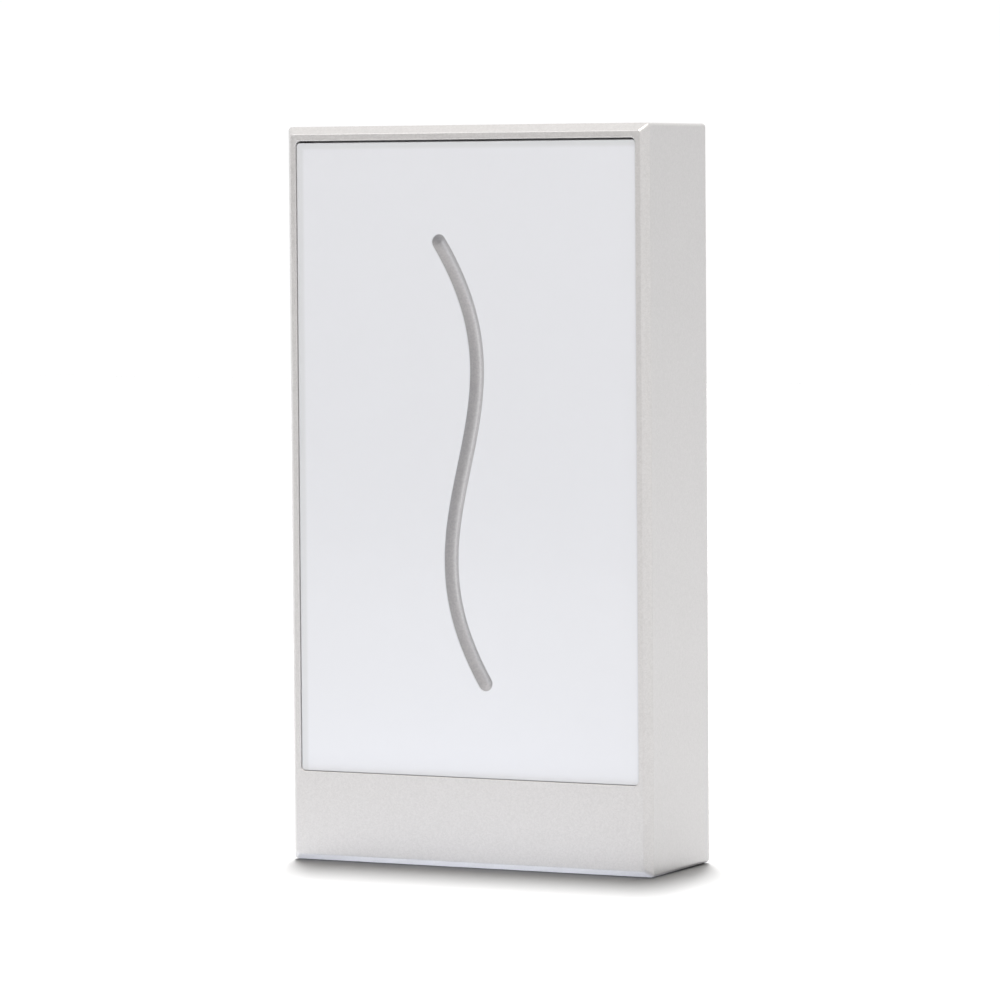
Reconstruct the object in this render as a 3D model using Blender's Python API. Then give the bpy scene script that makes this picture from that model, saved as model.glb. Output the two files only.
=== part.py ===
"""A wall-mounted RFID card reader, as its separate pieces.

Frame: +X is to the right seen from the front, the front faces -Y and +Z is up. The origin is the
centre of the flat bottom face. The sizes below are in millimetres, and solid() turns them into
metres. An outline is a list of (x, z) points, and it is extruded along Y, the depth.
"""

import math

import bmesh
import bpy
from mathutils import Vector

MM = 0.001
GAP = 0.3  # clearance between pieces that touch on the real object
ALONG_Y = (math.radians(-90), 0, 0)  # turns a piece made along +Z to run along +Y

# Housing
WIDTH = 65.0
HEIGHT = 120.0
DEPTH = 23.0
FRONT_Y = -DEPTH / 2
REAR_Y = DEPTH / 2
CHAMFER = 1.1  # width of the chamfer in the front view
CHAMFER_DEPTH = 1.5
CORNER = 0.6
WALL = 2.0
FLOOR_WALL = 3.0  # the bottom wall, which carries the security screw

# Panel, its adhesive and the wall that they lie on
RECESS_HALF = WIDTH / 2 - WALL
RECESS_Z = (14.7, 117.6)
RECESS_CORNER = 0.8
PANEL_GAP = 0.25
PANEL_SUNK = 0.3
PANEL_THICK = 2.0
ADHESIVE_THICK = 0.4
ADHESIVE_INSET = 1.0
PANEL_FRONT = FRONT_Y + PANEL_SUNK
PANEL_BACK = PANEL_FRONT + PANEL_THICK
ADHESIVE_FRONT = PANEL_BACK + GAP
ADHESIVE_BACK = ADHESIVE_FRONT + ADHESIVE_THICK
RECESS_BACK = ADHESIVE_BACK + GAP
CAVITY_FRONT = RECESS_BACK + 1.6

# The S: x = S_SIDE + S_SWING sin(2 pi u / S_WAVE) - S_LEAN u, at height u above its middle
S_SIDE = -0.28
S_MIDDLE_Z = 65.1
S_SWING = 8.14
S_WAVE = 100.0
S_LEAN = 0.284
S_SPAN = (-34.95, 36.1)  # u at the centres of the round ends
S_STEPS = 30
S_END_STEPS = 6
SLOT_HALF = 1.2
STEM_HALF = 1.05
STEM_SUNK = 0.2
GROOVE_DEPTH = 0.9
GROOVE_RINGS = 5
FLANGE_HALF = 2.6
FLANGE_THICK = 1.3

# Electronics
CAVITY_HALF = 28.5
CAVITY_Z = (16.0, 116.0)
CORNER_BLOCK = 6.4  # square columns in the cavity's corners, for the cover's screws
BOARD_FRONT = -3.0
BOARD_BACK = -1.4
BOARD_INSET = 0.6
PARTS_Y = BOARD_BACK + GAP  # where the parts on the board's back begin
BOARD_SCREW_X = 24.3
BOARD_SCREW_Z = (40.0, 92.0)
COIL_HALF = 20.5
COIL_Z = (24.0, 107.0)
COIL_BAND = 2.5
COIL_CORNER = 8.0
COIL_THICK = 1.4
LED_COUNT = 6
LED_SIZE = (3.5, 2.8, 1.4)
LED_REACH = 31.0

# Rear cover and its seal
LEDGE_Y = 4.0
POCKET_HALF = WIDTH / 2 - WALL
POCKET_Z = (14.0, HEIGHT - WALL)
POCKET_CORNER = 1.5
GASKET_THICK = 0.7
GASKET_BAND = 1.3
COVER_FRONT = 5.3
COVER_THICK = 2.2
COVER_BACK = COVER_FRONT + COVER_THICK
COVER_SEAT = 6.6  # under the screw heads
COVER_SCREW_X = CAVITY_HALF - CORNER_BLOCK / 2
COVER_SCREW_Z = (CAVITY_Z[0] + CORNER_BLOCK / 2, CAVITY_Z[1] - CORNER_BLOCK / 2)
GROMMET_Z = 60.0
GROMMET_HOLE = 4.8
GROMMET_BORE = 3.2
KEEPER_X = 18.0
KEEPER_Z = (100.5, 104.5)
KEEPER_HALF = 4.9
KEEPER_SLOT_HALF = 3.5
KEEPER_BAR_Y = (9.4, 10.9)

# Bay behind the bottom band, and the bays open to the rear below the cover
BAND_POCKET_FRONT = -9.3
BAND_POCKET_BACK = -0.5
BAY_FRONT = 1.5
BAY_TOP = 12.0
REAR_BAY_FRONT = 7.8

# Tamper switch
TAMPER_X = 17.0
TAMPER_Z = 78.0
PLUNGER_PROUD = 1.5  # how far it stands out of the bracket, and its travel
SWITCH_SIDE = 8.4
SWITCH_TOP = 1.9
WELL_RADIUS = 3.0
WELL_FLOOR = -0.4
POST_RADIUS = 1.2
POST_TOP = 0.1
SPRING_RADIUS = 2.1
SPRING_WIRE = 0.2
SPRING_TURNS = 4
COLLAR_Y = (4.0, 5.0)

# Bracket
PLATE_FRONT = 10.5
PLATE_THICK = 1.2
PLATE_BACK = PLATE_FRONT + PLATE_THICK
PLATE_HALF = 30.0
PLATE_Z = (4.6, 117.5)
PLATE_CORNER = 2.5
CABLE_WINDOW_HALF = 10.0
CABLE_WINDOW_Z = (47.0, 73.0)
SLOT_SPACINGS = (60.0, 83.3)  # between wall screws, centred on the cable window
WALL_SLOT = (9.0, 4.6)
HOOK_HALF = 3.0
HOOK_Z = (97.5, 103.5)
HOOK_Y = (7.9, 9.1)
HOOK_WINDOW_HALF = 5.6
HOOK_WINDOW_TOP = 109.5
TONGUE_HALF = 9.0
TONGUE_FRONT = 2.6
SECURITY_Y = 6.0


def clear_scene():
    for item in list(bpy.data.objects):
        bpy.data.objects.remove(item, do_unlink=True)


def finish(name, colour, roughness, metallic=0.0):
    made = bpy.data.materials.new(name)
    made.use_nodes = True
    shader = made.node_tree.nodes["Principled BSDF"]
    shader.inputs["Base Color"].default_value = (*colour, 1.0)
    shader.inputs["Roughness"].default_value = roughness
    shader.inputs["Metallic"].default_value = metallic
    made.diffuse_color = (*colour, 1.0)
    return made


# ---- Outlines and basic forms, in millimetres


def rectangle(half, z_range):
    low, high = z_range
    return [(-half, low), (half, low), (half, high), (-half, high)]


def rounded(x_range, z_range, radius, steps=4):
    """Rectangle with rounded corners, anticlockwise from its right lower corner."""
    left, right = x_range[0] + radius, x_range[1] - radius
    low, high = z_range[0] + radius, z_range[1] - radius
    points = []
    for quarter, (x, z) in enumerate([(right, low), (right, high), (left, high), (left, low)]):
        for step in range(steps + 1):
            angle = math.radians(90) * (quarter - 1 + step / steps)
            points.append((x + radius * math.cos(angle), z + radius * math.sin(angle)))
    return points


def notched(half, z_range, notch):
    """Rectangle with a square notch out of each corner."""
    low, high = z_range
    inner = half - notch
    return [
        (-inner, low), (inner, low), (inner, low + notch), (half, low + notch),
        (half, high - notch), (inner, high - notch), (inner, high), (-inner, high),
        (-inner, high - notch), (-half, high - notch), (-half, low + notch), (-inner, low + notch),
    ]


def s_point(u):
    """Centre of the S and its unit direction, at height u above its middle."""
    turn = 2 * math.pi / S_WAVE
    x = S_SIDE + S_SWING * math.sin(turn * u) - S_LEAN * u
    slope = S_SWING * turn * math.cos(turn * u) - S_LEAN
    length = math.hypot(slope, 1)
    return x, S_MIDDLE_Z + u, slope / length, 1 / length


def s_outline(half):
    """Outline of the S with this half width and round ends, anticlockwise."""
    low, high = S_SPAN
    heights = [low + (high - low) * step / S_STEPS for step in range(S_STEPS + 1)]
    points = []
    for side, run in ((1, heights), (-1, heights[::-1])):
        for u in run:
            x, z, along_x, along_z = s_point(u)
            points.append((x + side * half * along_z, z - side * half * along_x))
        start = math.atan2(-side * along_x, side * along_z)
        for step in range(1, S_END_STEPS):
            angle = start + math.pi * step / S_END_STEPS
            points.append((x + half * math.cos(angle), z + half * math.sin(angle)))
    return points


def at_depth(outline, y):
    return [(x, y, z) for x, z in outline]


def circle(radius, height, sides):
    angles = [2 * math.pi * side / sides for side in range(sides)]
    return [(radius * math.cos(angle), radius * math.sin(angle), height) for angle in angles]


def loft(rings, closed=False):
    """Surface through rings with the same number of points, capped at both ends or closed on itself."""
    made = bmesh.new()
    loops = [[made.verts.new(point) for point in ring] for ring in rings]
    pairs = list(zip(loops, loops[1:]))
    if closed:
        pairs.append((loops[-1], loops[0]))
    for near, far in pairs:
        for place in range(len(near)):
            after = (place + 1) % len(near)
            made.faces.new((near[place], near[after], far[after], far[place]))
    if not closed:
        made.faces.new(loops[0])
        made.faces.new(loops[-1])
    return made


def prism(outline, front, back):
    return loft([at_depth(outline, front), at_depth(outline, back)])


def band(outer, inner, front, back):
    """Flat ring between two outlines with the same number of points."""
    sections = ((outer, front), (outer, back), (inner, back), (inner, front))
    return loft([at_depth(outline, y) for outline, y in sections], closed=True)


def box(x_range, y_range, z_range):
    (left, right), (low, high) = x_range, z_range
    return prism([(left, low), (right, low), (right, high), (left, high)], *y_range)


def turned(profile, sides=24, bored=False):
    """Form turned about Z from (radius, height) points. A bored one's profile is a closed loop."""
    return loft([circle(radius, height, sides) for radius, height in profile], closed=bored)


def cylinder(radius, low, high, sides=24):
    return turned([(radius, low), (radius, high)], sides)


# ---- Objects


def solid(name, form, look=None, at=(0, 0, 0), turn=(0, 0, 0), smooth=False):
    """Object made from a form in millimetres. Its origin is at the point given."""
    bmesh.ops.recalc_face_normals(form, faces=form.faces)
    bmesh.ops.scale(form, vec=(MM, MM, MM), verts=form.verts)
    mesh = bpy.data.meshes.new(name)
    form.to_mesh(mesh)
    form.free()
    made = bpy.data.objects.new(name, mesh)
    made.location = Vector(at) * MM
    made.rotation_euler = turn
    bpy.context.scene.collection.objects.link(made)
    dress(made, look, smooth)
    return made


def dress(item, look, smooth):
    if look:
        item.data.materials.clear()
        item.data.materials.append(look)
    if smooth:
        item.data.shade_smooth()
        item.data.set_sharp_from_angle(angle=math.radians(35))


def combine(target, others, operation):
    for other in others:
        step = target.modifiers.new(other.name, "BOOLEAN")
        step.operation = operation
        step.object = other
    bpy.context.view_layer.update()
    graph = bpy.context.evaluated_depsgraph_get()
    target.data = bpy.data.meshes.new_from_object(target.evaluated_get(graph))
    target.modifiers.clear()
    for other in others:
        bpy.data.objects.remove(other, do_unlink=True)


def join(target, forms):
    combine(target, [solid("addition", form) for form in forms], "UNION")


def cut(target, forms):
    combine(target, [solid("cutter", form) for form in forms], "DIFFERENCE")


def cut_round(target, places, radius, low, high, along=ALONG_Y, sides=24):
    """Drills holes at these points. low and high are measured along the hole from each point."""
    drills = [solid("drill", cylinder(radius, low, high, sides), at=at, turn=along) for at in places]
    combine(target, drills, "DIFFERENCE")


def corners(half, heights):
    """The four (x, z) places of a rectangle of screws."""
    return [(side * half, z) for z in heights for side in (-1, 1)]


# ---- Front housing


def housing_shell():
    half = WIDTH / 2
    rings = []
    for inset, y in ((CHAMFER, FRONT_Y), (0, FRONT_Y + CHAMFER_DEPTH), (0, REAR_Y)):
        edge = rounded((inset - half, half - inset), (inset, HEIGHT - inset), CORNER)
        rings.append(at_depth(edge, y))
    return loft(rings)


def front_housing(look):
    made = solid("front_housing", housing_shell())
    past = 1.0
    recess = rounded((-RECESS_HALF, RECESS_HALF), RECESS_Z, RECESS_CORNER)
    pocket = rounded((-POCKET_HALF, POCKET_HALF), POCKET_Z, POCKET_CORNER)
    rear = rounded((-POCKET_HALF, POCKET_HALF), (FLOOR_WALL, POCKET_Z[1]), POCKET_CORNER)
    cut(made, [
        prism(recess, FRONT_Y - past, RECESS_BACK),
        prism(notched(CAVITY_HALF, CAVITY_Z, CORNER_BLOCK), CAVITY_FRONT, LEDGE_Y + 0.1),
        prism(pocket, LEDGE_Y, REAR_BAY_FRONT + 0.1),
        prism(rear, REAR_BAY_FRONT, REAR_Y + past),
        prism(s_outline(STEM_HALF + GAP), RECESS_BACK - past, CAVITY_FRONT + past),
    ])
    cut(made, band_pocket() + rear_bays())
    join_board_bosses(made)
    cover_places = [(x, LEDGE_Y, z) for x, z in corners(COVER_SCREW_X, COVER_SCREW_Z)]
    cut_round(made, cover_places, 1.6, -9.5, past, sides=16)
    cut_round(made, [(0, SECURITY_Y, 0)], 1.8, -past, FLOOR_WALL + past, along=(0, 0, 0))
    cut_round(made, [(0, SECURITY_Y, 0)], 3.1, -past, 1.7, along=(0, 0, 0))
    dress(made, look, False)


def band_pocket():
    """Hollow behind the bottom band, and its way up into the cavity."""
    side = (-CAVITY_HALF, CAVITY_HALF)
    lower = box(side, (BAND_POCKET_FRONT, BAND_POCKET_BACK), (2.2, 12.9))
    inner = CAVITY_HALF - CORNER_BLOCK
    upper = box((-inner, inner), (CAVITY_FRONT, BAND_POCKET_BACK), (12.0, CAVITY_Z[0] + 0.5))
    return [lower, upper]


def rear_bays():
    """Three bays below the cover. The bracket's tongue goes into the middle one."""
    spans = ((-CAVITY_HALF, -14.0), (-12.0, 12.0), (14.0, CAVITY_HALF))
    return [box(span, (BAY_FRONT, REAR_BAY_FRONT + 0.1), (FLOOR_WALL, BAY_TOP)) for span in spans]


def join_board_bosses(housing):
    places = corners(BOARD_SCREW_X, BOARD_SCREW_Z)
    height = BOARD_FRONT - GAP - CAVITY_FRONT
    bosses = [
        solid("boss", cylinder(2.4, -0.4, height, 16), at=(x, CAVITY_FRONT, z), turn=ALONG_Y)
        for x, z in places
    ]
    combine(housing, bosses, "UNION")
    holes = [(x, CAVITY_FRONT, z) for x, z in places]
    cut_round(housing, holes, 1.3, 0.1, height + 1.0, sides=12)


# ---- Panel, adhesive and light guide


def front_panel(look):
    low, high = RECESS_Z
    half = RECESS_HALF - PANEL_GAP
    edge = rounded((-half, half), (low + PANEL_GAP, high - PANEL_GAP), RECESS_CORNER - PANEL_GAP)
    made = solid("front_panel", prism(edge, PANEL_FRONT, PANEL_BACK))
    cut(made, [prism(s_outline(SLOT_HALF), PANEL_FRONT - 1, PANEL_BACK + 1)])
    dress(made, look, False)


def panel_adhesive(look):
    low, high = RECESS_Z
    half = RECESS_HALF - ADHESIVE_INSET
    edge = rounded((-half, half), (low + ADHESIVE_INSET, high - ADHESIVE_INSET), RECESS_CORNER)
    made = solid("panel_adhesive", prism(edge, ADHESIVE_FRONT, ADHESIVE_BACK))
    cut(made, [prism(s_outline(STEM_HALF + 2 * GAP), ADHESIVE_FRONT - 1, ADHESIVE_BACK + 1)])
    dress(made, look, False)


def light_guide(look):
    """S-shaped bar on a flange. Its front is a round groove that ends in the slot's round ends."""
    flange_front = CAVITY_FRONT + GAP
    rim = PANEL_FRONT + STEM_SUNK
    sections = [
        (FLANGE_HALF, flange_front + FLANGE_THICK),
        (FLANGE_HALF, flange_front),
        (STEM_HALF, flange_front),
        (STEM_HALF, rim),
    ]
    for ring in range(1, GROOVE_RINGS):
        share = 1 - ring / GROOVE_RINGS
        sections.append((STEM_HALF * share, rim + GROOVE_DEPTH * (1 - share**2)))
    rings = [at_depth(s_outline(half), y) for half, y in sections]
    solid("light_guide", loft(rings), look, smooth=True)


# ---- Board and what is on it


def main_board(look):
    edge = notched(
        CAVITY_HALF - BOARD_INSET,
        (CAVITY_Z[0] + BOARD_INSET, CAVITY_Z[1] - BOARD_INSET),
        CORNER_BLOCK,
    )
    made = solid("main_board", prism(edge, BOARD_FRONT, BOARD_BACK))
    holes = [(x, BOARD_FRONT, z) for x, z in corners(BOARD_SCREW_X, BOARD_SCREW_Z)]
    cut_round(made, holes, 1.4, -1, BOARD_BACK - BOARD_FRONT + 1, sides=16)
    dress(made, look, False)


def antenna_coil(look):
    low, high = COIL_Z
    inner_half = COIL_HALF - COIL_BAND
    outer = rounded((-COIL_HALF, COIL_HALF), COIL_Z, COIL_CORNER, 6)
    inner_z = (low + COIL_BAND, high - COIL_BAND)
    inner = rounded((-inner_half, inner_half), inner_z, COIL_CORNER - COIL_BAND, 6)
    back = BOARD_FRONT - GAP
    solid("antenna_coil", band(outer, inner, back - COIL_THICK, back), look)


def leds(look):
    """Cupped lamps on the board's front, along the middle of the light guide."""
    length, width, thick = LED_SIZE
    back = BOARD_FRONT - GAP
    for number in range(LED_COUNT):
        u = LED_REACH * (1 - 2 * number / (LED_COUNT - 1))
        x, z, _, _ = s_point(u)
        sections = ((0, back), (0, back - thick), (0.5, back - thick), (0.7, back - thick + 0.5))
        rings = []
        for inset, y in sections:
            half_x, half_z = width / 2 - inset, length / 2 - inset
            edge = rounded((-half_x, half_x), (-half_z, half_z), 0.3, 2)
            rings.append(at_depth(edge, y))
        solid(f"led_{number + 1}", loft(rings), look, at=(x, 0, z))


def chip(name, size, thick, place, look):
    """Square chip with a bevelled top, on the board's back."""
    rings = []
    for inset, y in ((0, 0), (0, thick * 0.6), (0.25, thick)):
        half = size / 2 - inset
        rings.append(at_depth(rectangle(half, (-half, half)), y))
    solid(name, loft(rings), look, at=(place[0], PARTS_Y, place[1]))


def buzzer(look):
    profile = [(6.0, 0), (6.0, 4.6), (5.7, 4.9), (1.2, 4.9), (1.2, 4.0)]
    solid("buzzer", turned(profile, 32), look, at=(-11, PARTS_Y, 99), turn=ALONG_Y, smooth=True)


def crystal(look):
    rings = []
    for inset, y in ((0, 0), (0, 0.5), (0.5, 0.5), (0.5, 3.1), (0.8, 3.4)):
        half_x, half_z = 5.6 - inset, 2.3 - inset
        edge = rounded((-half_x, half_x), (-half_z, half_z), half_z - 0.05)
        rings.append(at_depth(edge, y))
    solid("crystal", loft(rings), look, at=(10, PARTS_Y, 103), smooth=True)


def voltage_regulator(look):
    made = solid("voltage_regulator", box((-3.25, 3.25), (0, 1.6), (-1.75, 1.75)))
    join(made, [box((-1.5, 1.5), (0.1, 0.6), (-3.4, -1.5)), box((-2.8, -1.8), (0.1, 0.4), (1.5, 3.2))])
    join(made, [box((-0.5, 0.5), (0.1, 0.4), (1.5, 3.2)), box((1.8, 2.8), (0.1, 0.4), (1.5, 3.2))])
    made.location = Vector((-15, PARTS_Y, 36)) * MM
    dress(made, look, False)


def capacitors(look):
    profile = [(3.15, 0), (3.15, 0.8), (2.95, 1.1), (3.15, 1.4), (3.15, 5.1), (2.9, 5.5)]
    for number, z in enumerate((48.0, 56.0)):
        name = f"capacitor_{number + 1}"
        solid(name, turned(profile, 20), look, at=(-17, PARTS_Y, z), turn=ALONG_Y, smooth=True)


def cable_header(look):
    """Shrouded connector with eight pins, open to the rear."""
    made = solid("cable_header", box((-10, 10), (0, 5.5), (-2.9, 2.9)))
    cut(made, [box((-9, 9), (1.2, 6.5), (-1.9, 1.9)), box((-2.5, 2.5), (2.5, 6.5), (-3.5, -1.5))])
    pin_places = [2.1 * (place - 3.5) for place in range(8)]
    join(made, [box((x - 0.3, x + 0.3), (1.0, 4.6), (-0.3, 0.3)) for x in pin_places])
    made.location = Vector((0, PARTS_Y, 40)) * MM
    dress(made, look, False)


def tamper_switch(look):
    """Switch block with a well for the spring and a contact post in the middle of the well."""
    half = SWITCH_SIDE / 2
    made = solid("tamper_switch", box((-half, half), (PARTS_Y, SWITCH_TOP), (-half, half)))
    well = [
        (POST_RADIUS, POST_TOP),
        (POST_RADIUS, WELL_FLOOR),
        (WELL_RADIUS, WELL_FLOOR),
        (WELL_RADIUS, SWITCH_TOP + 1),
    ]
    combine(made, [solid("well", turned(well), turn=ALONG_Y)], "DIFFERENCE")
    made.location = Vector((TAMPER_X, 0, TAMPER_Z)) * MM
    dress(made, look, False)


def screws(name, places, shank, head, length, look):
    """Pan-head screws driven towards the front. head is (radius, height) above the seat."""
    radius, height = head
    profile = [
        (shank * 0.4, -length),
        (shank, shank - length),
        (shank, 0),
        (radius, 0),
        (radius, height * 0.5),
        (radius * 0.8, height),
        (radius * 0.4, height),
        (radius * 0.3, height * 0.4),
    ]
    for number, place in enumerate(places):
        title = f"{name}_{number + 1}"
        solid(title, turned(profile, 16), look, at=place, turn=ALONG_Y, smooth=True)


# ---- Rear cover


def cover_gasket(look):
    low, high = POCKET_Z
    outer_half = POCKET_HALF - GAP
    inner_half = outer_half - GASKET_BAND
    outer_z = (low + GAP, high - GAP)
    inner_z = (outer_z[0] + GASKET_BAND, outer_z[1] - GASKET_BAND)
    outer = rounded((-outer_half, outer_half), outer_z, POCKET_CORNER)
    inner = rounded((-inner_half, inner_half), inner_z, POCKET_CORNER)
    front = LEDGE_Y + GAP
    solid("cover_gasket", band(outer, inner, front, front + GASKET_THICK), look)


def rear_cover(look):
    low, high = POCKET_Z
    half = POCKET_HALF - GAP
    edge = rounded((-half, half), (low + GAP, high - GAP), POCKET_CORNER)
    made = solid("rear_cover", prism(edge, COVER_FRONT, COVER_BACK))
    sunk = COVER_BACK - 0.4
    bar = KEEPER_BAR_Y[1]
    additions = []
    for side in (-1, 1):
        middle = side * KEEPER_X
        additions.append(box((middle - KEEPER_HALF, middle + KEEPER_HALF), (sunk, bar), KEEPER_Z))
        rib = side * 26.5
        additions.append(box((rib - 0.6, rib + 0.6), (sunk, COVER_BACK + 1.0), (30, 98)))
    join(made, additions)
    boss = solid("boss", cylinder(3.8, sunk, 9.6), at=(TAMPER_X, 0, TAMPER_Z), turn=ALONG_Y)
    combine(made, [boss], "UNION")
    slots = []
    for middle in (-KEEPER_X, KEEPER_X):
        span = (middle - KEEPER_SLOT_HALF, middle + KEEPER_SLOT_HALF)
        slots.append(box(span, (COVER_BACK, KEEPER_BAR_Y[0]), (KEEPER_Z[0] - 1, KEEPER_Z[1] + 1)))
    cut(made, slots)
    cut_round(made, [(0, COVER_FRONT, GROMMET_Z)], GROMMET_HOLE, -1, COVER_THICK + 1, sides=32)
    cut_round(made, [(TAMPER_X, 0, TAMPER_Z)], 2.2, COVER_FRONT - 1, 11)
    places = [(x, 0, z) for x, z in corners(COVER_SCREW_X, COVER_SCREW_Z)]
    cut_round(made, places, 1.65, COVER_FRONT - 1, COVER_BACK + 1, sides=16)
    cut_round(made, places, 3.1, COVER_SEAT, COVER_BACK + 1)
    dress(made, look, False)


def cable_grommet(look):
    neck = GROMMET_HOLE - GAP
    lip = 6.4
    profile = [
        (GROMMET_BORE, 3.7),
        (lip, 3.7),
        (lip, COVER_FRONT - GAP),
        (neck, COVER_FRONT - GAP),
        (neck, COVER_BACK + GAP),
        (lip, COVER_BACK + GAP),
        (lip, 8.8),
        (4.6, 10.1),
        (GROMMET_BORE, 10.1),
    ]
    form = turned(profile, 32, bored=True)
    solid("cable_grommet", form, look, at=(0, 0, GROMMET_Z), turn=ALONG_Y, smooth=True)


# ---- Tamper plunger and spring


def tamper_plunger(look):
    """Turned pin on the slide axis. Its collar stops behind the cover and its stem meets the post."""
    tip = PLATE_BACK + PLUNGER_PROUD
    profile = [
        (0.9, 2.0),
        (1.1, 2.2),
        (1.1, COLLAR_Y[0]),
        (2.9, COLLAR_Y[0]),
        (2.9, COLLAR_Y[1]),
        (1.9, COLLAR_Y[1]),
        (1.9, tip - 1.0),
        (1.7, tip - 0.45),
        (1.2, tip - 0.12),
        (0.5, tip),
    ]
    solid("tamper_plunger", turned(profile), look, at=(TAMPER_X, 0, TAMPER_Z), turn=ALONG_Y, smooth=True)


def tamper_spring(look):
    low = WELL_FLOOR + GAP + SPRING_WIRE
    high = COLLAR_Y[0] - GAP - SPRING_WIRE
    steps = 12 * SPRING_TURNS
    rings = []
    for step in range(steps + 1):
        angle = 2 * math.pi * SPRING_TURNS * step / steps
        height = low + (high - low) * step / steps
        ring = []
        for radius, rise, _ in circle(SPRING_WIRE, 0, 6):
            out = SPRING_RADIUS + radius
            ring.append((out * math.cos(angle), out * math.sin(angle), height + rise))
        rings.append(ring)
    solid("tamper_spring", loft(rings), look, at=(TAMPER_X, 0, TAMPER_Z), turn=ALONG_Y, smooth=True)


# ---- Wall bracket and its screw


def bracket_hook(middle):
    """Strip that leaves the plate towards the cover and turns up behind its keeper."""
    span = (middle - HOOK_HALF, middle + HOOK_HALF)
    low, high = HOOK_Z
    leg = box(span, (HOOK_Y[0], PLATE_FRONT + 0.5), (low, low + PLATE_THICK))
    lip = box(span, HOOK_Y, (low, high))
    return [leg, lip]


def wall_bracket(look):
    edge = rounded((-PLATE_HALF, PLATE_HALF), PLATE_Z, PLATE_CORNER)
    made = solid("wall_bracket", prism(edge, PLATE_FRONT, PLATE_BACK))
    low = PLATE_Z[0]
    tongue = box((-TONGUE_HALF, TONGUE_HALF), (TONGUE_FRONT, PLATE_FRONT + 0.5), (low, low + PLATE_THICK))
    join(made, [tongue] + bracket_hook(-KEEPER_X) + bracket_hook(KEEPER_X))
    through = (PLATE_FRONT - 1, PLATE_BACK + 1)
    window = rounded((-CABLE_WINDOW_HALF, CABLE_WINDOW_HALF), CABLE_WINDOW_Z, 3.0)
    openings = [prism(window, *through)]
    for side in (-1, 1):
        middle = side * KEEPER_X
        span = (middle - HOOK_WINDOW_HALF, middle + HOOK_WINDOW_HALF)
        clear = (PLATE_FRONT - 0.2, PLATE_BACK + 1)
        openings.append(box(span, clear, (HOOK_Z[0] + PLATE_THICK, HOOK_WINDOW_TOP)))
        for spacing in SLOT_SPACINGS:
            openings.append(prism(wall_slot(GROMMET_Z + side * spacing / 2), *through))
    cut(made, openings)
    cut_round(made, [(TAMPER_X, 0, TAMPER_Z)], 3.2, PLATE_FRONT - 1, PLATE_BACK + 1)
    cut_round(made, [(0, SECURITY_Y, low)], 1.8, -1, PLATE_THICK + 1, along=(0, 0, 0))
    dress(made, look, False)


def wall_slot(height):
    length, width = WALL_SLOT
    half = width / 2
    return rounded((-length / 2, length / 2), (height - half, height + half), half - 0.01, 6)


def bracket_nut(look):
    base = PLATE_Z[0] + PLATE_THICK + GAP
    profile = [(1.8, 0), (3.3, 0), (3.3, 2.2), (2.9, 2.6), (1.8, 2.6)]
    form = turned(profile, 24, bored=True)
    solid("bracket_nut", form, look, at=(0, SECURITY_Y, base), smooth=True)


def security_screw(look):
    """Button-head screw with its head sunk in the bottom wall."""
    profile = [
        (0.9, -0.4),
        (1.1, -1.2),
        (2.2, -1.2),
        (2.8, -0.8),
        (2.8, 0),
        (1.45, 0),
        (1.45, 8.2),
        (0.8, 8.9),
    ]
    solid("security_screw", turned(profile), look, at=(0, SECURITY_Y, 1.4), smooth=True)


def main():
    clear_scene()
    silver = finish("silver_paint", (0.62, 0.62, 0.62), 0.4, 0.3)
    white = finish("white_panel", (0.8, 0.8, 0.82), 0.12)
    diffuser = finish("diffuser", (0.4, 0.4, 0.41), 0.45)
    tape = finish("tape", (0.7, 0.7, 0.68), 0.8)
    green = finish("board", (0.03, 0.2, 0.07), 0.5)
    copper = finish("copper", (0.72, 0.35, 0.18), 0.35, 1.0)
    lamp = finish("lamp", (0.85, 0.83, 0.7), 0.4)
    black = finish("black_plastic", (0.03, 0.03, 0.03), 0.5)
    cream = finish("cream_plastic", (0.75, 0.7, 0.58), 0.5)
    grey = finish("grey_plastic", (0.09, 0.09, 0.1), 0.55)
    rubber = finish("rubber", (0.04, 0.04, 0.04), 0.8)
    steel = finish("zinc_steel", (0.6, 0.62, 0.64), 0.35, 1.0)

    front_housing(silver)
    front_panel(white)
    panel_adhesive(tape)
    light_guide(diffuser)

    main_board(green)
    antenna_coil(copper)
    leds(lamp)
    chip("microcontroller", 7.0, 1.3, (-9, 81), black)
    chip("reader_chip", 5.0, 0.9, (7, 92), black)
    buzzer(black)
    crystal(steel)
    voltage_regulator(black)
    capacitors(steel)
    cable_header(cream)
    tamper_switch(black)
    board_seats = [(x, PARTS_Y, z) for x, z in corners(BOARD_SCREW_X, BOARD_SCREW_Z)]
    screws("board_screw", board_seats, 1.0, (2.2, 1.4), 5.0, steel)

    cover_gasket(rubber)
    rear_cover(grey)
    cable_grommet(rubber)
    cover_seats = [(x, COVER_SEAT + GAP, z) for x, z in corners(COVER_SCREW_X, COVER_SCREW_Z)]
    screws("cover_screw", cover_seats, 1.3, (2.7, 1.6), 11.0, steel)

    tamper_plunger(white)
    tamper_spring(steel)
    wall_bracket(steel)
    bracket_nut(steel)
    security_screw(steel)


main()
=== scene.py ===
"""Looks of a wall-mounted RFID card reader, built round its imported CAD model.

Frame: +X is to the right seen from the front, the front faces -Y and +Z is up. The sizes below are
in millimetres, and solid() turns them into metres. An outline is a list of (x, z) points, and a
ring is an outline at a depth y. Most pieces are lofted through rings, so that their edges are
rounded in the mesh itself.
"""

import math

import bmesh
import bpy
from mathutils import Matrix, Vector


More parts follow.
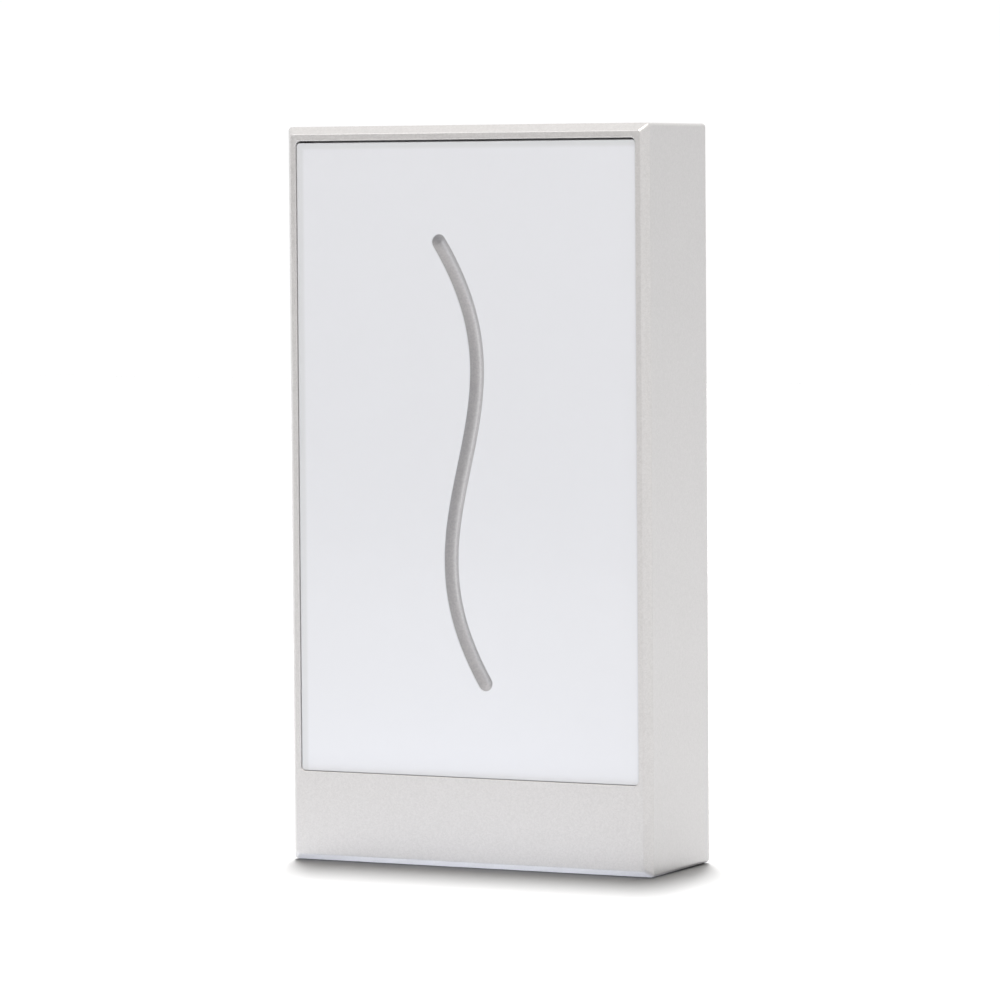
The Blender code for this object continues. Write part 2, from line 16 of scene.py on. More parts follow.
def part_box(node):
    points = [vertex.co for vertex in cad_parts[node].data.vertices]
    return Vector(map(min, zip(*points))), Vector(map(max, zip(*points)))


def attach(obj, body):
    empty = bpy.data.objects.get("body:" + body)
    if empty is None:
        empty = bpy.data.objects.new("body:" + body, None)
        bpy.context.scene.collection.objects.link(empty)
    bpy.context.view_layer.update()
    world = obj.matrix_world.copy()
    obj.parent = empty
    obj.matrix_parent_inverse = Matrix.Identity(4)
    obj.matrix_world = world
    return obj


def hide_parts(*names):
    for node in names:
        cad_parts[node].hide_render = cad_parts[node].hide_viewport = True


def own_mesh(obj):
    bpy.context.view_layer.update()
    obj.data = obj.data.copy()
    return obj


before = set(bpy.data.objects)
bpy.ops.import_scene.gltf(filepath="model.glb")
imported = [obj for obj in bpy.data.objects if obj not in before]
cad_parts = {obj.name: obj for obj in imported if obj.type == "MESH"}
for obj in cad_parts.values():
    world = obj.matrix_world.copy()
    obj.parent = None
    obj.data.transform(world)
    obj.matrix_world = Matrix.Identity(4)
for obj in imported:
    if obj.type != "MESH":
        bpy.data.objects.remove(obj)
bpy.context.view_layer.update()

MM = 0.001
PAST = 1.0  # how far a cutter runs past the surface that it opens
ALONG_Y = (math.radians(-90), 0, 0)  # turns a form made along +Z to run along +Y
SHARP = math.radians(32)


def reach(node):
    """Ranges of a CAD node in x, y and z, in millimetres."""
    low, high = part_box(node)
    return [(low[axis] / MM, high[axis] / MM) for axis in range(3)]


def middle(span):
    return (span[0] + span[1]) / 2


def widened(span, amount):
    return span[0] - amount, span[1] + amount


def about(centre, half):
    return centre - half, centre + half


HOUSING_X, (FRONT, BACK), HOUSING_Z = reach("front_housing")
PANEL_X, PANEL_Y, PANEL_Z = reach("front_panel")
BOARD_X, BOARD_Y, BOARD_Z = reach("main_board")
COVER_X, COVER_Y, COVER_Z = reach("rear_cover")
PLATE_X, PLATE_Y, PLATE_Z = reach("wall_bracket")

# Housing
CHAMFER = 1.1  # width of the chamfer in the front view
CHAMFER_DEPTH = 1.5
FRONT_DROP = 0.1  # how much lower the front face is than in the CAD
CORNER = 0.6
PANEL_GAP = 0.25
PANEL_SNUG = 0.19  # how much closer than the CAD's gap the panel is to the recess's sides and foot
RECESS_CORNER = 0.8
RECESS_RAISE = 0.06  # how much higher the recess reaches than in the CAD
RECESS_BACK = -8.2
LIP = 0.16  # radius of the recess's front edge
EDGE = 0.4  # radius of the edge between front and chamfer
SIDE_EDGE = 0.3
REAR_EDGE = 0.3
CAVITY_FRONT = -6.6
CORNER_BLOCK = 6.4
LEDGE = 4.0
REAR_BAY_FRONT = 7.8
REAR_BAY_CORNER = 1.5
WALL = 2.0
BOTTOM_WALL = 3.0
BAND_POCKET = ((-9.3, -0.5), (2.2, 12.9))
BAY_Y = (1.5, 7.9)
BAY_Z = (3.0, 12.0)
BAYS_X = ((-28.5, -14.0), (-12.0, 12.0), (14.0, 28.5))
SECURITY_Y = 6.0

# The S: x = S_SIDE + S_SWING sin(2 pi u / S_WAVE) - S_LEAN u, at height u above its middle
S_SIDE = -0.25
S_MIDDLE_Z = 65.1
S_SWING = 8.14
S_WAVE = 98.0
S_LEAN = 0.284
S_SPAN = (-34.95, 36.1)
S_STEPS = 110
S_END_STEPS = 18
SLOT_HALF = 1.26
SLOT_EDGE = 0.06
STEM_HALF = 1.25
STEM_SUNK = 0.12
GROOVE_DEPTH = 1.25
GROOVE_RINGS = 14
RIM = 0.05
FLANGE_HALF = 2.6
FLANGE_THICK = 1.3

# Rear
GROMMET_Z = 60.0
KEEPER_X = 18.0
KEEPER_HALF = 4.9
KEEPER_SLOT_HALF = 3.5
KEEPER_Z = (100.5, 104.5)
KEEPER_BAR = 9.4
KEEPER_BACK = 10.9
COVER_BACK = 7.5
RIB_X = 26.5
RIB_Z = (30.0, 98.0)
TAMPER_X = 17.0
TAMPER_Z = 78.0
TAMPER_AXIS = (TAMPER_X, 0, TAMPER_Z)
COVER_SCREW_X = 25.3
COVER_SCREW_Z = (19.2, 112.8)
BOARD_SCREW_X = 24.3
BOARD_SCREW_Z = (40.0, 92.0)
PLATE_FRONT = 10.5
PLATE_THICK = 1.2
PLATE_CORNER = 2.5
CABLE_WINDOW_X = (-10.0, 10.0)
CABLE_WINDOW_Z = (47.0, 73.0)
SLOT_SPACINGS = (60.0, 83.3)
WALL_SLOT = (9.0, 4.6)
HOOK_HALF = 3.0
HOOK_Z = (97.5, 103.5)
HOOK_Y = (7.9, 9.1)
HOOK_WINDOW_HALF = 5.6
HOOK_WINDOW_TOP = 109.5
TONGUE_HALF = 9.0
BEND = 1.5  # outer radius of the bracket's folds

FLOOR_GREY = 0.15


# ---- Outlines and forms, in millimetres


def rounded(x_range, z_range, radius, steps=6):
    """Rectangle with rounded corners, anticlockwise from its right lower corner."""
    left, right = x_range[0] + radius, x_range[1] - radius
    low, high = z_range[0] + radius, z_range[1] - radius
    points = []
    for quarter, (x, z) in enumerate([(right, low), (right, high), (left, high), (left, low)]):
        for step in range(steps + 1):
            angle = math.radians(90) * (quarter - 1 + step / steps)
            points.append((x + radius * math.cos(angle), z + radius * math.sin(angle)))
    return points


def notched(x_range, z_range, notch):
    """Rectangle with a square notch out of each corner."""
    (left, right), (low, high) = x_range, z_range
    return [
        (left + notch, low), (right - notch, low), (right - notch, low + notch), (right, low + notch),
        (right, high - notch), (right - notch, high - notch), (right - notch, high),
        (left + notch, high), (left + notch, high - notch), (left, high - notch),
        (left, low + notch), (left + notch, low + notch),
    ]


def s_point(u):
    """Centre of the S and its unit direction, at height u above its middle."""
    turn = 2 * math.pi / S_WAVE
    x = S_SIDE + S_SWING * math.sin(turn * u) - S_LEAN * u
    slope = S_SWING * turn * math.cos(turn * u) - S_LEAN
    length = math.hypot(slope, 1)
    return x, S_MIDDLE_Z + u, slope / length, 1 / length


def s_outline(half):
    """Outline of the S with this half width and round ends, anticlockwise."""
    low, high = S_SPAN
    heights = [low + (high - low) * step / S_STEPS for step in range(S_STEPS + 1)]
    points = []
    for side, run in ((1, heights), (-1, heights[::-1])):
        for u in run:
            x, z, along_x, along_z = s_point(u)
            points.append((x + side * half * along_z, z - side * half * along_x))
        start = math.atan2(-side * along_x, side * along_z)
        for step in range(1, S_END_STEPS):
            angle = start + math.pi * step / S_END_STEPS
            points.append((x + half * math.cos(angle), z + half * math.sin(angle)))
    return points


def at_depth(outline, y):
    return [(x, y, z) for x, z in outline]


def filleted(points, radii, steps=5):
    """Open line through these points, each inner corner rounded by its radius."""
    line = [tuple(points[0])]
    for before, corner, after, radius in zip(points, points[1:], points[2:], radii):
        if not radius:
            line.append(tuple(corner))
            continue
        corner = Vector(corner)
        back = (Vector(before) - corner).normalized()
        ahead = (Vector(after) - corner).normalized()
        half = back.angle(ahead) / 2
        centre = corner + (back + ahead).normalized() * radius / math.sin(half)
        first = corner + back * radius / math.tan(half) - centre
        last = corner + ahead * radius / math.tan(half) - centre
        start = math.atan2(first.y, first.x)
        sweep = (math.atan2(last.y, last.x) - start + math.pi) % (2 * math.pi) - math.pi
        for step in range(steps + 1):
            angle = start + sweep * step / steps
            line.append((centre.x + radius * math.cos(angle), centre.y + radius * math.sin(angle)))
    line.append(tuple(points[-1]))
    return line


def spun(x, y, turn):
    """Point turned anticlockwise about the origin."""
    cosine, sine = math.cos(turn), math.sin(turn)
    return x * cosine - y * sine, x * sine + y * cosine


def circle(radius, height, sides):
    angles = [2 * math.pi * side / sides for side in range(sides)]
    return [(radius * math.cos(angle), radius * math.sin(angle), height) for angle in angles]


def loft(rings, closed=False):
    """Surface through rings with the same number of points, capped at both ends or closed on itself."""
    made = bmesh.new()
    loops = [[made.verts.new(point) for point in ring] for ring in rings]
    pairs = list(zip(loops, loops[1:]))
    if closed:
        pairs.append((loops[-1], loops[0]))
    for near, far in pairs:
        for place in range(len(near)):
            after = (place + 1) % len(near)
            made.faces.new((near[place], near[after], far[after], far[place]))
    if not closed:
        made.faces.new(loops[0])
        made.faces.new(loops[-1])
    return made


def prism(outline, front, back):
    return loft([at_depth(outline, front), at_depth(outline, back)])


def rectangle(x_range, z_range):
    (left, right), (low, high) = x_range, z_range
    return [(left, low), (right, low), (right, high), (left, high)]


def box(x_range, y_range, z_range):
    return prism(rectangle(x_range, z_range), *y_range)


def slab(x_range, z_range, radius, y_range, soft=(0, 0), steps=6):
    """Rounded rectangle with thickness. soft is the radius of its front edge and of its back edge."""
    front, back = y_range
    deep = 2 * max(soft) + 0.1
    line = filleted([(deep, front), (0, front), (0, back), (deep, back)], soft)[1:-1]
    rings = []
    for inset, y in line:
        edge = rounded(widened(x_range, -inset), widened(z_range, -inset), max(radius - inset, 0.01), steps)
        rings.append(at_depth(edge, y))
    return loft(rings)


def turned(profile, sides=48, bored=False):
    """Form turned about Z from (radius, height) points. A bored one's profile is a closed loop."""
    return loft([circle(radius, height, sides) for radius, height in profile], closed=bored)


def strip(x_range, outline):
    """Prism along X of an outline of (y, z) points."""
    return loft([[(x, y, z) for y, z in outline] for x in x_range])


def hoop(outline, y, wire, sides=8):
    """Closed loop of round wire along an outline."""
    rings = []
    for place, (x, z) in enumerate(outline):
        before, after = outline[place - 1], outline[(place + 1) % len(outline)]
        across = Vector((after[1] - before[1], before[0] - after[0])).normalized()
        ring = []
        for out, deep, _ in circle(wire, 0, sides):
            ring.append((x + out * across.x, y + deep, z + out * across.y))
        rings.append(ring)
    return loft(rings, closed=True)


# ---- Objects


def solid(name, form, look=None, at=(0, 0, 0), turn=(0, 0, 0)):
    """Object made from a form in millimetres and moved there, with its own origin at the frame's.

    look is a name in LOOKS.
    """
    bmesh.ops.recalc_face_normals(form, faces=form.faces)
    place = Matrix.Translation(Vector(at) * MM) @ euler(turn) @ Matrix.Diagonal((MM, MM, MM, 1))
    mesh = bpy.data.meshes.new(name)
    form.to_mesh(mesh)
    form.free()
    mesh.transform(place)
    made = bpy.data.objects.new(name, mesh)
    bpy.context.scene.collection.objects.link(made)
    if look:
        mesh.materials.append(LOOKS[look])
    return made


def euler(turn):
    """Rotation about X, then Y, then Z."""
    about_x, about_y, about_z = (Matrix.Rotation(turn[place], 4, axis) for place, axis in enumerate("XYZ"))
    return about_z @ about_y @ about_x


def combine(target, others, operation):
    """Applies Booleans with these objects, which are used up."""
    for other in others:
        step = target.modifiers.new(other.name, "BOOLEAN")
        step.operation = operation
        step.object = other
    bpy.context.view_layer.update()
    graph = bpy.context.evaluated_depsgraph_get()
    target.data = bpy.data.meshes.new_from_object(target.evaluated_get(graph))
    target.modifiers.clear()
    for other in others:
        bpy.data.objects.remove(other, do_unlink=True)
    return target


def cut(target, forms, at=(0, 0, 0), turn=(0, 0, 0)):
    return combine(target, [solid("cutter", form, at=at, turn=turn) for form in forms], "DIFFERENCE")


def join(target, forms, at=(0, 0, 0), turn=(0, 0, 0)):
    return combine(target, [solid("addition", form, at=at, turn=turn) for form in forms], "UNION")


def cut_turned(target, places, profile, turn=ALONG_Y, sides=40):
    """Cuts a turned hole at each of these points. The profile's heights run along the hole."""
    drills = [solid("drill", turned(profile, sides), at=place, turn=turn) for place in places]
    return combine(target, drills, "DIFFERENCE")


def hole(radius, low, high, flare=0.0):
    """Profile of a hole from low to high, its mouth at high widened by flare."""
    if not flare:
        return [(radius, low), (radius, high)]
    return [(radius, low), (radius, high - PAST - flare), (radius + flare + PAST, high)]


def gathered(main, others):
    """Joins objects with their own materials into the first one, without changing their surfaces."""
    with bpy.context.temp_override(
        active_object=main, object=main, selected_editable_objects=[main, *others]
    ):
        bpy.ops.object.join()
    return main


def shown(made, node, body="reader"):
    """Smooths a finished piece between its sharp edges and lets it stand for its CAD node."""
    made.data.shade_smooth()
    made.data.set_sharp_from_angle(angle=SHARP)
    even = made.modifiers.new("even_normals", "WEIGHTED_NORMAL")
    even.keep_sharp = True
    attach(made, body)
    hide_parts(node)
    return made


def corners(half, heights):
    """The four (x, z) places of a rectangle of screws."""
    return [(side * half, z) for z in heights for side in (-1, 1)]


# ---- Materials


def add(tree, kind, **inputs):
    """Node of this kind. An input is a number, a colour or another node's socket."""
    made = tree.nodes.new("ShaderNode" + kind)
    for name, value in inputs.items():
        socket = made.inputs[name.replace("_", " ")]
        if isinstance(value, bpy.types.NodeSocket):
            tree.links.new(value, socket)
        else:
            socket.default_value = value
    return made


def calculate(tree, operation, *values):
    made = tree.nodes.new("ShaderNodeMath")
    made.operation = operation
    for place, value in enumerate(values):
        if isinstance(value, bpy.types.NodeSocket):
            tree.links.new(value, made.inputs[place])
        else:
            made.inputs[place].default_value = value
    return made.outputs[0]


def position(tree):
    """Place in the frame, in metres, since each piece's own origin is the frame's."""
    return tree.nodes.new("ShaderNodeTexCoord").outputs["Object"]


def noise(tree, size, detail=2.0, stretch=(1, 1, 1)):
    """Cloudy pattern from 0 to 1 whose patches are about this many millimetres across."""
    scaled = add(tree, "Mapping", Vector=position(tree))
    scaled.inputs["Scale"].default_value = stretch
    made = add(tree, "TexNoise", Vector=scaled.outputs[0], Scale=1 / (size * MM), Detail=detail)
    return made.outputs["Fac"]


def cells(tree, size, shape="EUCLIDEAN"):
    """Random value from 0 to 1 for each cell of this size, in millimetres."""
    made = add(tree, "TexVoronoi", Vector=position(tree), Scale=1 / (size * MM))
    made.distance = shape
    return add(tree, "SeparateColor", Color=made.outputs["Color"]).outputs[0]


def ranged(tree, value, low, high, start=0.3, end=0.7):
    """Maps start to low and end to high."""
    made = add(tree, "MapRange", Value=value, From_Min=start, From_Max=end, To_Min=low, To_Max=high)
    made.interpolation_type = "SMOOTHSTEP"
    return made.outputs[0]


def tinted(tree, factor, dark, light, start=0.3, end=0.7):
    """Colour that goes from dark to light as the factor goes from start to end."""
    made = add(tree, "ValToRGB", Fac=factor)
    made.color_ramp.elements[0].position = start
    made.color_ramp.elements[0].color = (*dark, 1)
    made.color_ramp.elements[1].position = end
    made.color_ramp.elements[1].color = (*light, 1)
    return made.outputs[0]


def principled(name, **values):
    """Material with these uniform values on its shader, and that shader and its tree."""
    made = bpy.data.materials.new(name)
    made.use_nodes = True
    shader = made.node_tree.nodes["Principled BSDF"]
    for title, value in values.items():
        shader.inputs[title.replace("_", " ")].default_value = value
    return made, shader, made.node_tree


def patterned(tree, shader, colour=None, roughness=None, height=None, depth=0.01):
    """Links patterns to the shader. depth is the height pattern's relief in millimetres."""
    if colour:
        tree.links.new(colour, shader.inputs["Base Color"])
    if roughness:
        tree.links.new(roughness, shader.inputs["Roughness"])
    if height:
        relief = add(tree, "Bump", Height=height, Distance=depth * MM, Strength=1.0)
        tree.links.new(relief.outputs[0], shader.inputs["Normal"])


def around(colour, share):
    """This colour made darker and lighter by a share."""
    return tuple(part * (1 - share) for part in colour), tuple(part * (1 + share) for part in colour)


def flaked(name, colour, share, roughness, **values):
    """Fine silver flake in a satin coat. Roughness is a range."""
    made, shader, tree = principled(name, **values)
    flakes = cells(tree, 0.2)
    clouds = noise(tree, 0.55, detail=3)
    mixed = calculate(tree, "MULTIPLY_ADD", clouds, 0.55, calculate(tree, "MULTIPLY", flakes, 0.45))
    tone = tinted(tree, mixed, *around(colour, share), start=0.25, end=0.75)
    gloss = ranged(tree, flakes, *roughness, 0.0, 1.0)
    patterned(tree, shader, tone, gloss, noise(tree, 0.22, detail=2), 0.006)
    return made


def white_panel():
    """Clear acrylic over white: glossy, with painted shade along its top and left edges, where the frame's
    shadow falls on the white.
    """
    made, shader, tree = principled(
        "white_panel", Roughness=0.5, Coat_Weight=1.0, Coat_Roughness=0.12, Specular_IOR_Level=0.0
    )
    place = add(tree, "SeparateXYZ", Vector=position(tree))
    from_top = calculate(tree, "SUBTRACT", PANEL_Z[1] * MM, place.outputs["Z"])
    from_left = calculate(tree, "SUBTRACT", place.outputs["X"], PANEL_X[0] * MM)
    nearest = calculate(tree, "MINIMUM", from_top, from_left)
    # Painted shade: the colour is darkest within 0.7 mm of the top and left edges and the panel's plain white
    # past 1.35 mm, standing in for the frame's shadow.
    inner = ranged(tree, nearest, 0.0, 1.0, 0.7 * MM, 1.35 * MM)
    painted_edge_shade_and_clouding = calculate(tree, "MULTIPLY_ADD", noise(tree, 45, detail=1), 0.02, inner)
    colour = tinted(tree, painted_edge_shade_and_clouding, (0.604, 0.617, 0.644), (0.663, 0.677, 0.718), 0.0, 1.0)
    patterned(tree, shader, colour, height=noise(tree, 14, detail=1), depth=0.012)
    return made


def moulded(name, colour, roughness=0.5, grain=0.25, depth=0.012, share=0.06, **values):
    """Spark-eroded plastic: an even matt grain with slight changes of colour and gloss."""
    made, shader, tree = principled(name, **values)
    fine = noise(tree, grain, detail=3)
    broad = noise(tree, 6, detail=2)
    tone = tinted(tree, broad, *around(colour, share))
    patterned(tree, shader, tone, ranged(tree, fine, roughness - 0.06, roughness + 0.08), fine, depth)
    return made


def metal(name, colour, roughness, drawn=(1, 1, 1), patch=3.0, share=0.08, depth=0.004):
    """Plated or rolled metal: drawn stretches its fine marks, patch is the size of its clouding."""
    made, shader, tree = principled(name, Metallic=1.0)
    marks = noise(tree, 0.18, detail=3, stretch=drawn)
    clouds = noise(tree, patch, detail=3)
    tone = tinted(tree, clouds, *around(colour, share))
    patterned(tree, shader, tone, ranged(tree, marks, roughness - 0.08, roughness + 0.10), marks, depth)
    return made


def table_white():
    """Matt and even, but for a slight clouding."""
    made, shader, tree = principled("floor", Roughness=0.9, Specular_IOR_Level=0.1)
    patterned(tree, shader, tinted(tree, noise(tree, 300, detail=1), *around((FLOOR_GREY,) * 3, 0.01)))
    return made


def solder_mask():
    """Green lacquer over bundles of straight copper tracks, which show as slightly raised lighter lines."""
    made, shader, tree = principled("board", Coat_Weight=0.4, Coat_Roughness=0.15)
    place = add(tree, "SeparateXYZ", Vector=position(tree))
    bundle = cells(tree, 9, "CHEBYCHEV")
    tracks = 0.0
    for axis, low, high in (("X", 0.0, 0.35), ("Z", 0.35, 0.75)):
        across = calculate(tree, "MULTIPLY", place.outputs[axis], 2 * math.pi / (1.1 * MM))
        lines = ranged(tree, calculate(tree, "SINE", across), 0.0, 1.0, 0.45, 0.65)
        chosen = calculate(tree, "COMPARE", bundle, (low + high) / 2, (high - low) / 2)
        tracks = calculate(tree, "MULTIPLY_ADD", lines, chosen, tracks)
    tone = tinted(tree, tracks, (0.012, 0.085, 0.03), (0.022, 0.145, 0.05), 0.0, 1.0)
    patterned(tree, shader, tone, ranged(tree, noise(tree, 1.2), 0.3, 0.42), tracks, 0.03)
    return made


LOOKS = {
    "silver_paint": flaked("silver_paint", (0.604, 0.595, 0.597), 0.05, (0.28, 0.40), Metallic=0.38,
                           Coat_Weight=0.1, Coat_Roughness=0.25),
    "white_panel": white_panel(),
    "diffuser": flaked("diffuser", (0.290, 0.287, 0.297), 0.08, (0.38, 0.52), Coat_Weight=0.15,
                       Coat_Roughness=0.35),
    "tape": moulded("tape", (0.72, 0.71, 0.68), 0.85, 0.12, 0.03, 0.03),
    "board": solder_mask(),
    "floor": table_white(),
    "copper": metal("copper", (0.80, 0.37, 0.18), 0.30, share=0.10),
    "lamp": moulded("lamp", (0.84, 0.83, 0.79), 0.4, 0.2, 0.004, 0.02),
    "phosphor": moulded("phosphor", (0.85, 0.66, 0.16), 0.3, 0.1, 0.004, 0.05),
    "black_plastic": moulded("black_plastic", (0.022, 0.022, 0.024), 0.48),
    "cream_plastic": moulded("cream_plastic", (0.76, 0.71, 0.58), 0.45),
    "grey_plastic": moulded("grey_plastic", (0.085, 0.087, 0.092), 0.52, 0.3, 0.02, 0.05),
    "plunger_plastic": moulded("plunger_plastic", (0.78, 0.78, 0.76), 0.35, 0.3, 0.005, 0.02),
    "rubber": moulded("rubber", (0.028, 0.028, 0.029), 0.72, 0.15, 0.015, 0.08),
    "can": metal("can", (0.80, 0.81, 0.82), 0.28, drawn=(1, 0.1, 1)),
    "tin": metal("tin", (0.78, 0.78, 0.76), 0.25),
    "zinc_steel": metal("zinc_steel", (0.47, 0.48, 0.495), 0.33, drawn=(0.25, 1, 1), patch=2.2, share=0.12),
}


# ---- Front housing


def housing_form():
    """From the recess's floor over its lip, the front, the chamfer and the sides to the rear bay."""
    recess_x = widened(PANEL_X, PANEL_GAP)
    recess_z = (PANEL_Z[0] - PANEL_GAP, PANEL_Z[1] + PANEL_GAP + RECESS_RAISE)
    flat = 0.7
    lip = filleted([(0, RECESS_BACK), (0, FRONT), (-flat, FRONT)], [LIP])[:-1]
    deep = CHAMFER + flat
    outside = [(deep, FRONT), (CHAMFER, FRONT), (0, FRONT + CHAMFER_DEPTH), (0, BACK), (WALL / 2, BACK)]
    outer = filleted(outside, [EDGE, SIDE_EDGE, REAR_EDGE])[1:-1]
    inner = filleted([(-WALL / 2, BACK), (0, BACK), (0, REAR_BAY_FRONT)], [REAR_EDGE])[1:]
    rear_x = widened(HOUSING_X, -WALL)
    rear_z = (HOUSING_Z[0] + BOTTOM_WALL, HOUSING_Z[1] - WALL)
    rings = []
    for (x_range, z_range), line, corner in (
        ((recess_x, recess_z), lip, lambda inset: RECESS_CORNER - inset),
        ((HOUSING_X, HOUSING_Z), outer, lambda inset: CORNER),
        ((rear_x, rear_z), inner, lambda inset: REAR_BAY_CORNER - inset),
    ):
        for inset, y in line:
            drop = FRONT_DROP * min(inset / CHAMFER, 1) if line is outer else 0
            low, high = widened(z_range, -inset)
            edge = rounded(widened(x_range, -inset), (low - drop, high - drop), corner(inset), 8)
            rings.append(at_depth(edge, y))
    return loft(rings)


def front_housing():
    made = solid("front_housing_fine", housing_form(), "silver_paint")
    cavity = notched(widened(BOARD_X, 0.6), widened(BOARD_Z, 0.6), CORNER_BLOCK)
    pocket = rounded(widened(COVER_X, 0.3), widened(COVER_Z, 0.3), REAR_BAY_CORNER)
    half = BAYS_X[2][1]
    upper = half - CORNER_BLOCK
    cut(made, [
        prism(cavity, CAVITY_FRONT, LEDGE + 0.1),
        prism(pocket, LEDGE, REAR_BAY_FRONT + 0.1),
        prism(s_outline(STEM_HALF + 0.3), RECESS_BACK - PAST, CAVITY_FRONT + PAST),
        box((-half, half), *BAND_POCKET),
        box((-upper, upper), (CAVITY_FRONT, BAND_POCKET[0][1]), (12.0, 16.5)),
    ])
    cut(made, [box(span, BAY_Y, BAY_Z) for span in BAYS_X])
    bosses(made)
    places = [(x, LEDGE, z) for x, z in corners(COVER_SCREW_X, COVER_SCREW_Z)]
    cut_turned(made, places, [(1.6, -9.5), (1.6, -0.35), (2.9, PAST)])
    upward = (0, 0, 0)
    mouth = [(3.1 + 0.25 + PAST, -PAST), (3.1, 0.25), (3.1, 1.7)]
    cut_turned(made, [(0, SECURITY_Y, 0)], mouth, upward, 64)
    cut_turned(made, [(0, SECURITY_Y, 0)], hole(1.8, 1.6, BOTTOM_WALL + PAST), upward, 48)
    shown(made, "front_housing")


def bosses(housing):
    """Posts under the board, each with a pilot hole."""
    height = BOARD_Y[0] - 0.3 - CAVITY_FRONT
    profile = filleted([(2.9, -0.4), (2.4, 0.5), (2.4, height), (0.5, height)], [0, 0.3])
    places = [(x, CAVITY_FRONT, z) for x, z in corners(BOARD_SCREW_X, BOARD_SCREW_Z)]
    posts = [solid("boss", turned(profile, 32), at=place, turn=ALONG_Y) for place in places]
    combine(housing, posts, "UNION")
    cut_turned(housing, places, hole(1.3, 0.1, height + PAST), sides=24)


# ---- Panel, adhesive and light guide


def front_panel():
    """Panel with softened edges. It nearly fills its recess, with most of the gap above it."""
    soft = (0.14, 0.08)
    z_range = (PANEL_Z[0] - PANEL_SNUG, PANEL_Z[1])
    form = slab(widened(PANEL_X, PANEL_SNUG), z_range, RECESS_CORNER - PANEL_GAP, PANEL_Y, soft, 8)
    made = solid("front_panel_fine", form, "white_panel")
    front, back = PANEL_Y
    sections = [
        (SLOT_HALF, back + PAST),
        (SLOT_HALF, front + SLOT_EDGE),
        (SLOT_HALF + 0.3 * SLOT_EDGE, front + 0.3 * SLOT_EDGE),
        (SLOT_HALF + SLOT_EDGE, front - 0.001),
        (SLOT_HALF + SLOT_EDGE, front - PAST),
    ]
    cut(made, [loft([at_depth(s_outline(half), y) for half, y in sections])])
    shown(made, "front_panel")


def panel_adhesive():
    x_range, y_range, z_range = reach("panel_adhesive")
    made = solid("panel_adhesive_fine", slab(x_range, z_range, 1.1, y_range, (0.08, 0.08)), "tape")
    cut(made, [prism(s_outline(STEM_HALF + 0.6), y_range[0] - PAST, y_range[1] + PAST)])
    shown(made, "panel_adhesive")


def light_guide():
    """S-shaped bar on a flange. Its front is a round groove between two narrow rims."""
    flange_front = CAVITY_FRONT + 0.3
    rim = PANEL_Y[0] + STEM_SUNK
    outside = [
        (FLANGE_HALF / 2, flange_front + FLANGE_THICK),
        (FLANGE_HALF, flange_front + FLANGE_THICK),
        (FLANGE_HALF, flange_front),
        (STEM_HALF, flange_front),
        (STEM_HALF, rim),
        (STEM_HALF * 0.8, rim),
    ]
    sections = filleted(outside, [0.2, 0.2, 0.15, RIM], 3)[1:-1]
    for ring in range(1, GROOVE_RINGS):
        share = 1 - ring / GROOVE_RINGS
        sections.append(((STEM_HALF - RIM) * share, rim + GROOVE_DEPTH * (1 - share**2)))
    form = loft([at_depth(s_outline(half), y) for half, y in sections])
    shown(solid("light_guide_fine", form, "diffuser"), "light_guide")


# ---- Board and what is on it


def main_board():
    outline = notched(BOARD_X, BOARD_Z, CORNER_BLOCK)
    made = solid("main_board_fine", prism(outline, *BOARD_Y), "board")
    places = corners(BOARD_SCREW_X, BOARD_SCREW_Z)
    cut_turned(made, [(x, BOARD_Y[0], z) for x, z in places], hole(1.4, -PAST, 3.0), sides=32)
    shown(made, "main_board")
    pads = []
    for x, z in places:
        ring = [(1.45, 0), (2.4, 0), (2.4, 0.04), (1.45, 0.04)]
        pads.append(solid("pad", turned(ring, 32, bored=True), "tin", (x, BOARD_Y[1], z), ALONG_Y))
    gathered(made, pads + passives())


def passives():
    """Small resistors and capacitors round the two chips."""
    places = [(-3.0, 76 + 2.2 * row) for row in range(5)]
    places += [(13.0 - 2.6 * column, 86.5) for column in range(4)]
    places += [(-14.5, 77 + 2.6 * row) for row in range(4)]
    places += [(-8.5, 47 + 2.4 * row) for row in range(5)]
    made = []
    back = BOARD_Y[1]
    for number, (x, z) in enumerate(places):
        body = "black_plastic" if number % 2 else "cream_plastic"
        chip_form = slab(about(x, 0.5), about(z, 0.4), 0.05, (back, back + 0.45), (0, 0.05), 2)
        made.append(solid("passive", chip_form, body))
        for side in (-1, 1):
            end = x + side * 0.65
            cap = slab(about(end, 0.16), about(z, 0.42), 0.06, (back, back + 0.48), (0, 0.06), 2)
            made.append(solid("cap", cap, "tin"))
    return made


def antenna_coil():
    """Windings of enamelled wire, six wide and three deep."""
    x_range, y_range, z_range = reach("antenna_coil")
    wire = 0.2
    made = []
    for layer in range(3):
        y = y_range[0] + wire + layer * (y_range[1] - y_range[0] - 2 * wire) / 2
        for lap in range(6):
            inset = wire + 0.42 * lap
            outline = rounded(widened(x_range, -inset), widened(z_range, -inset), 8 - inset, 8)
            made.append(solid("antenna_coil_fine", hoop(outline, y, wire), "copper"))
    shown(gathered(made[0], made[1:]), "antenna_coil")


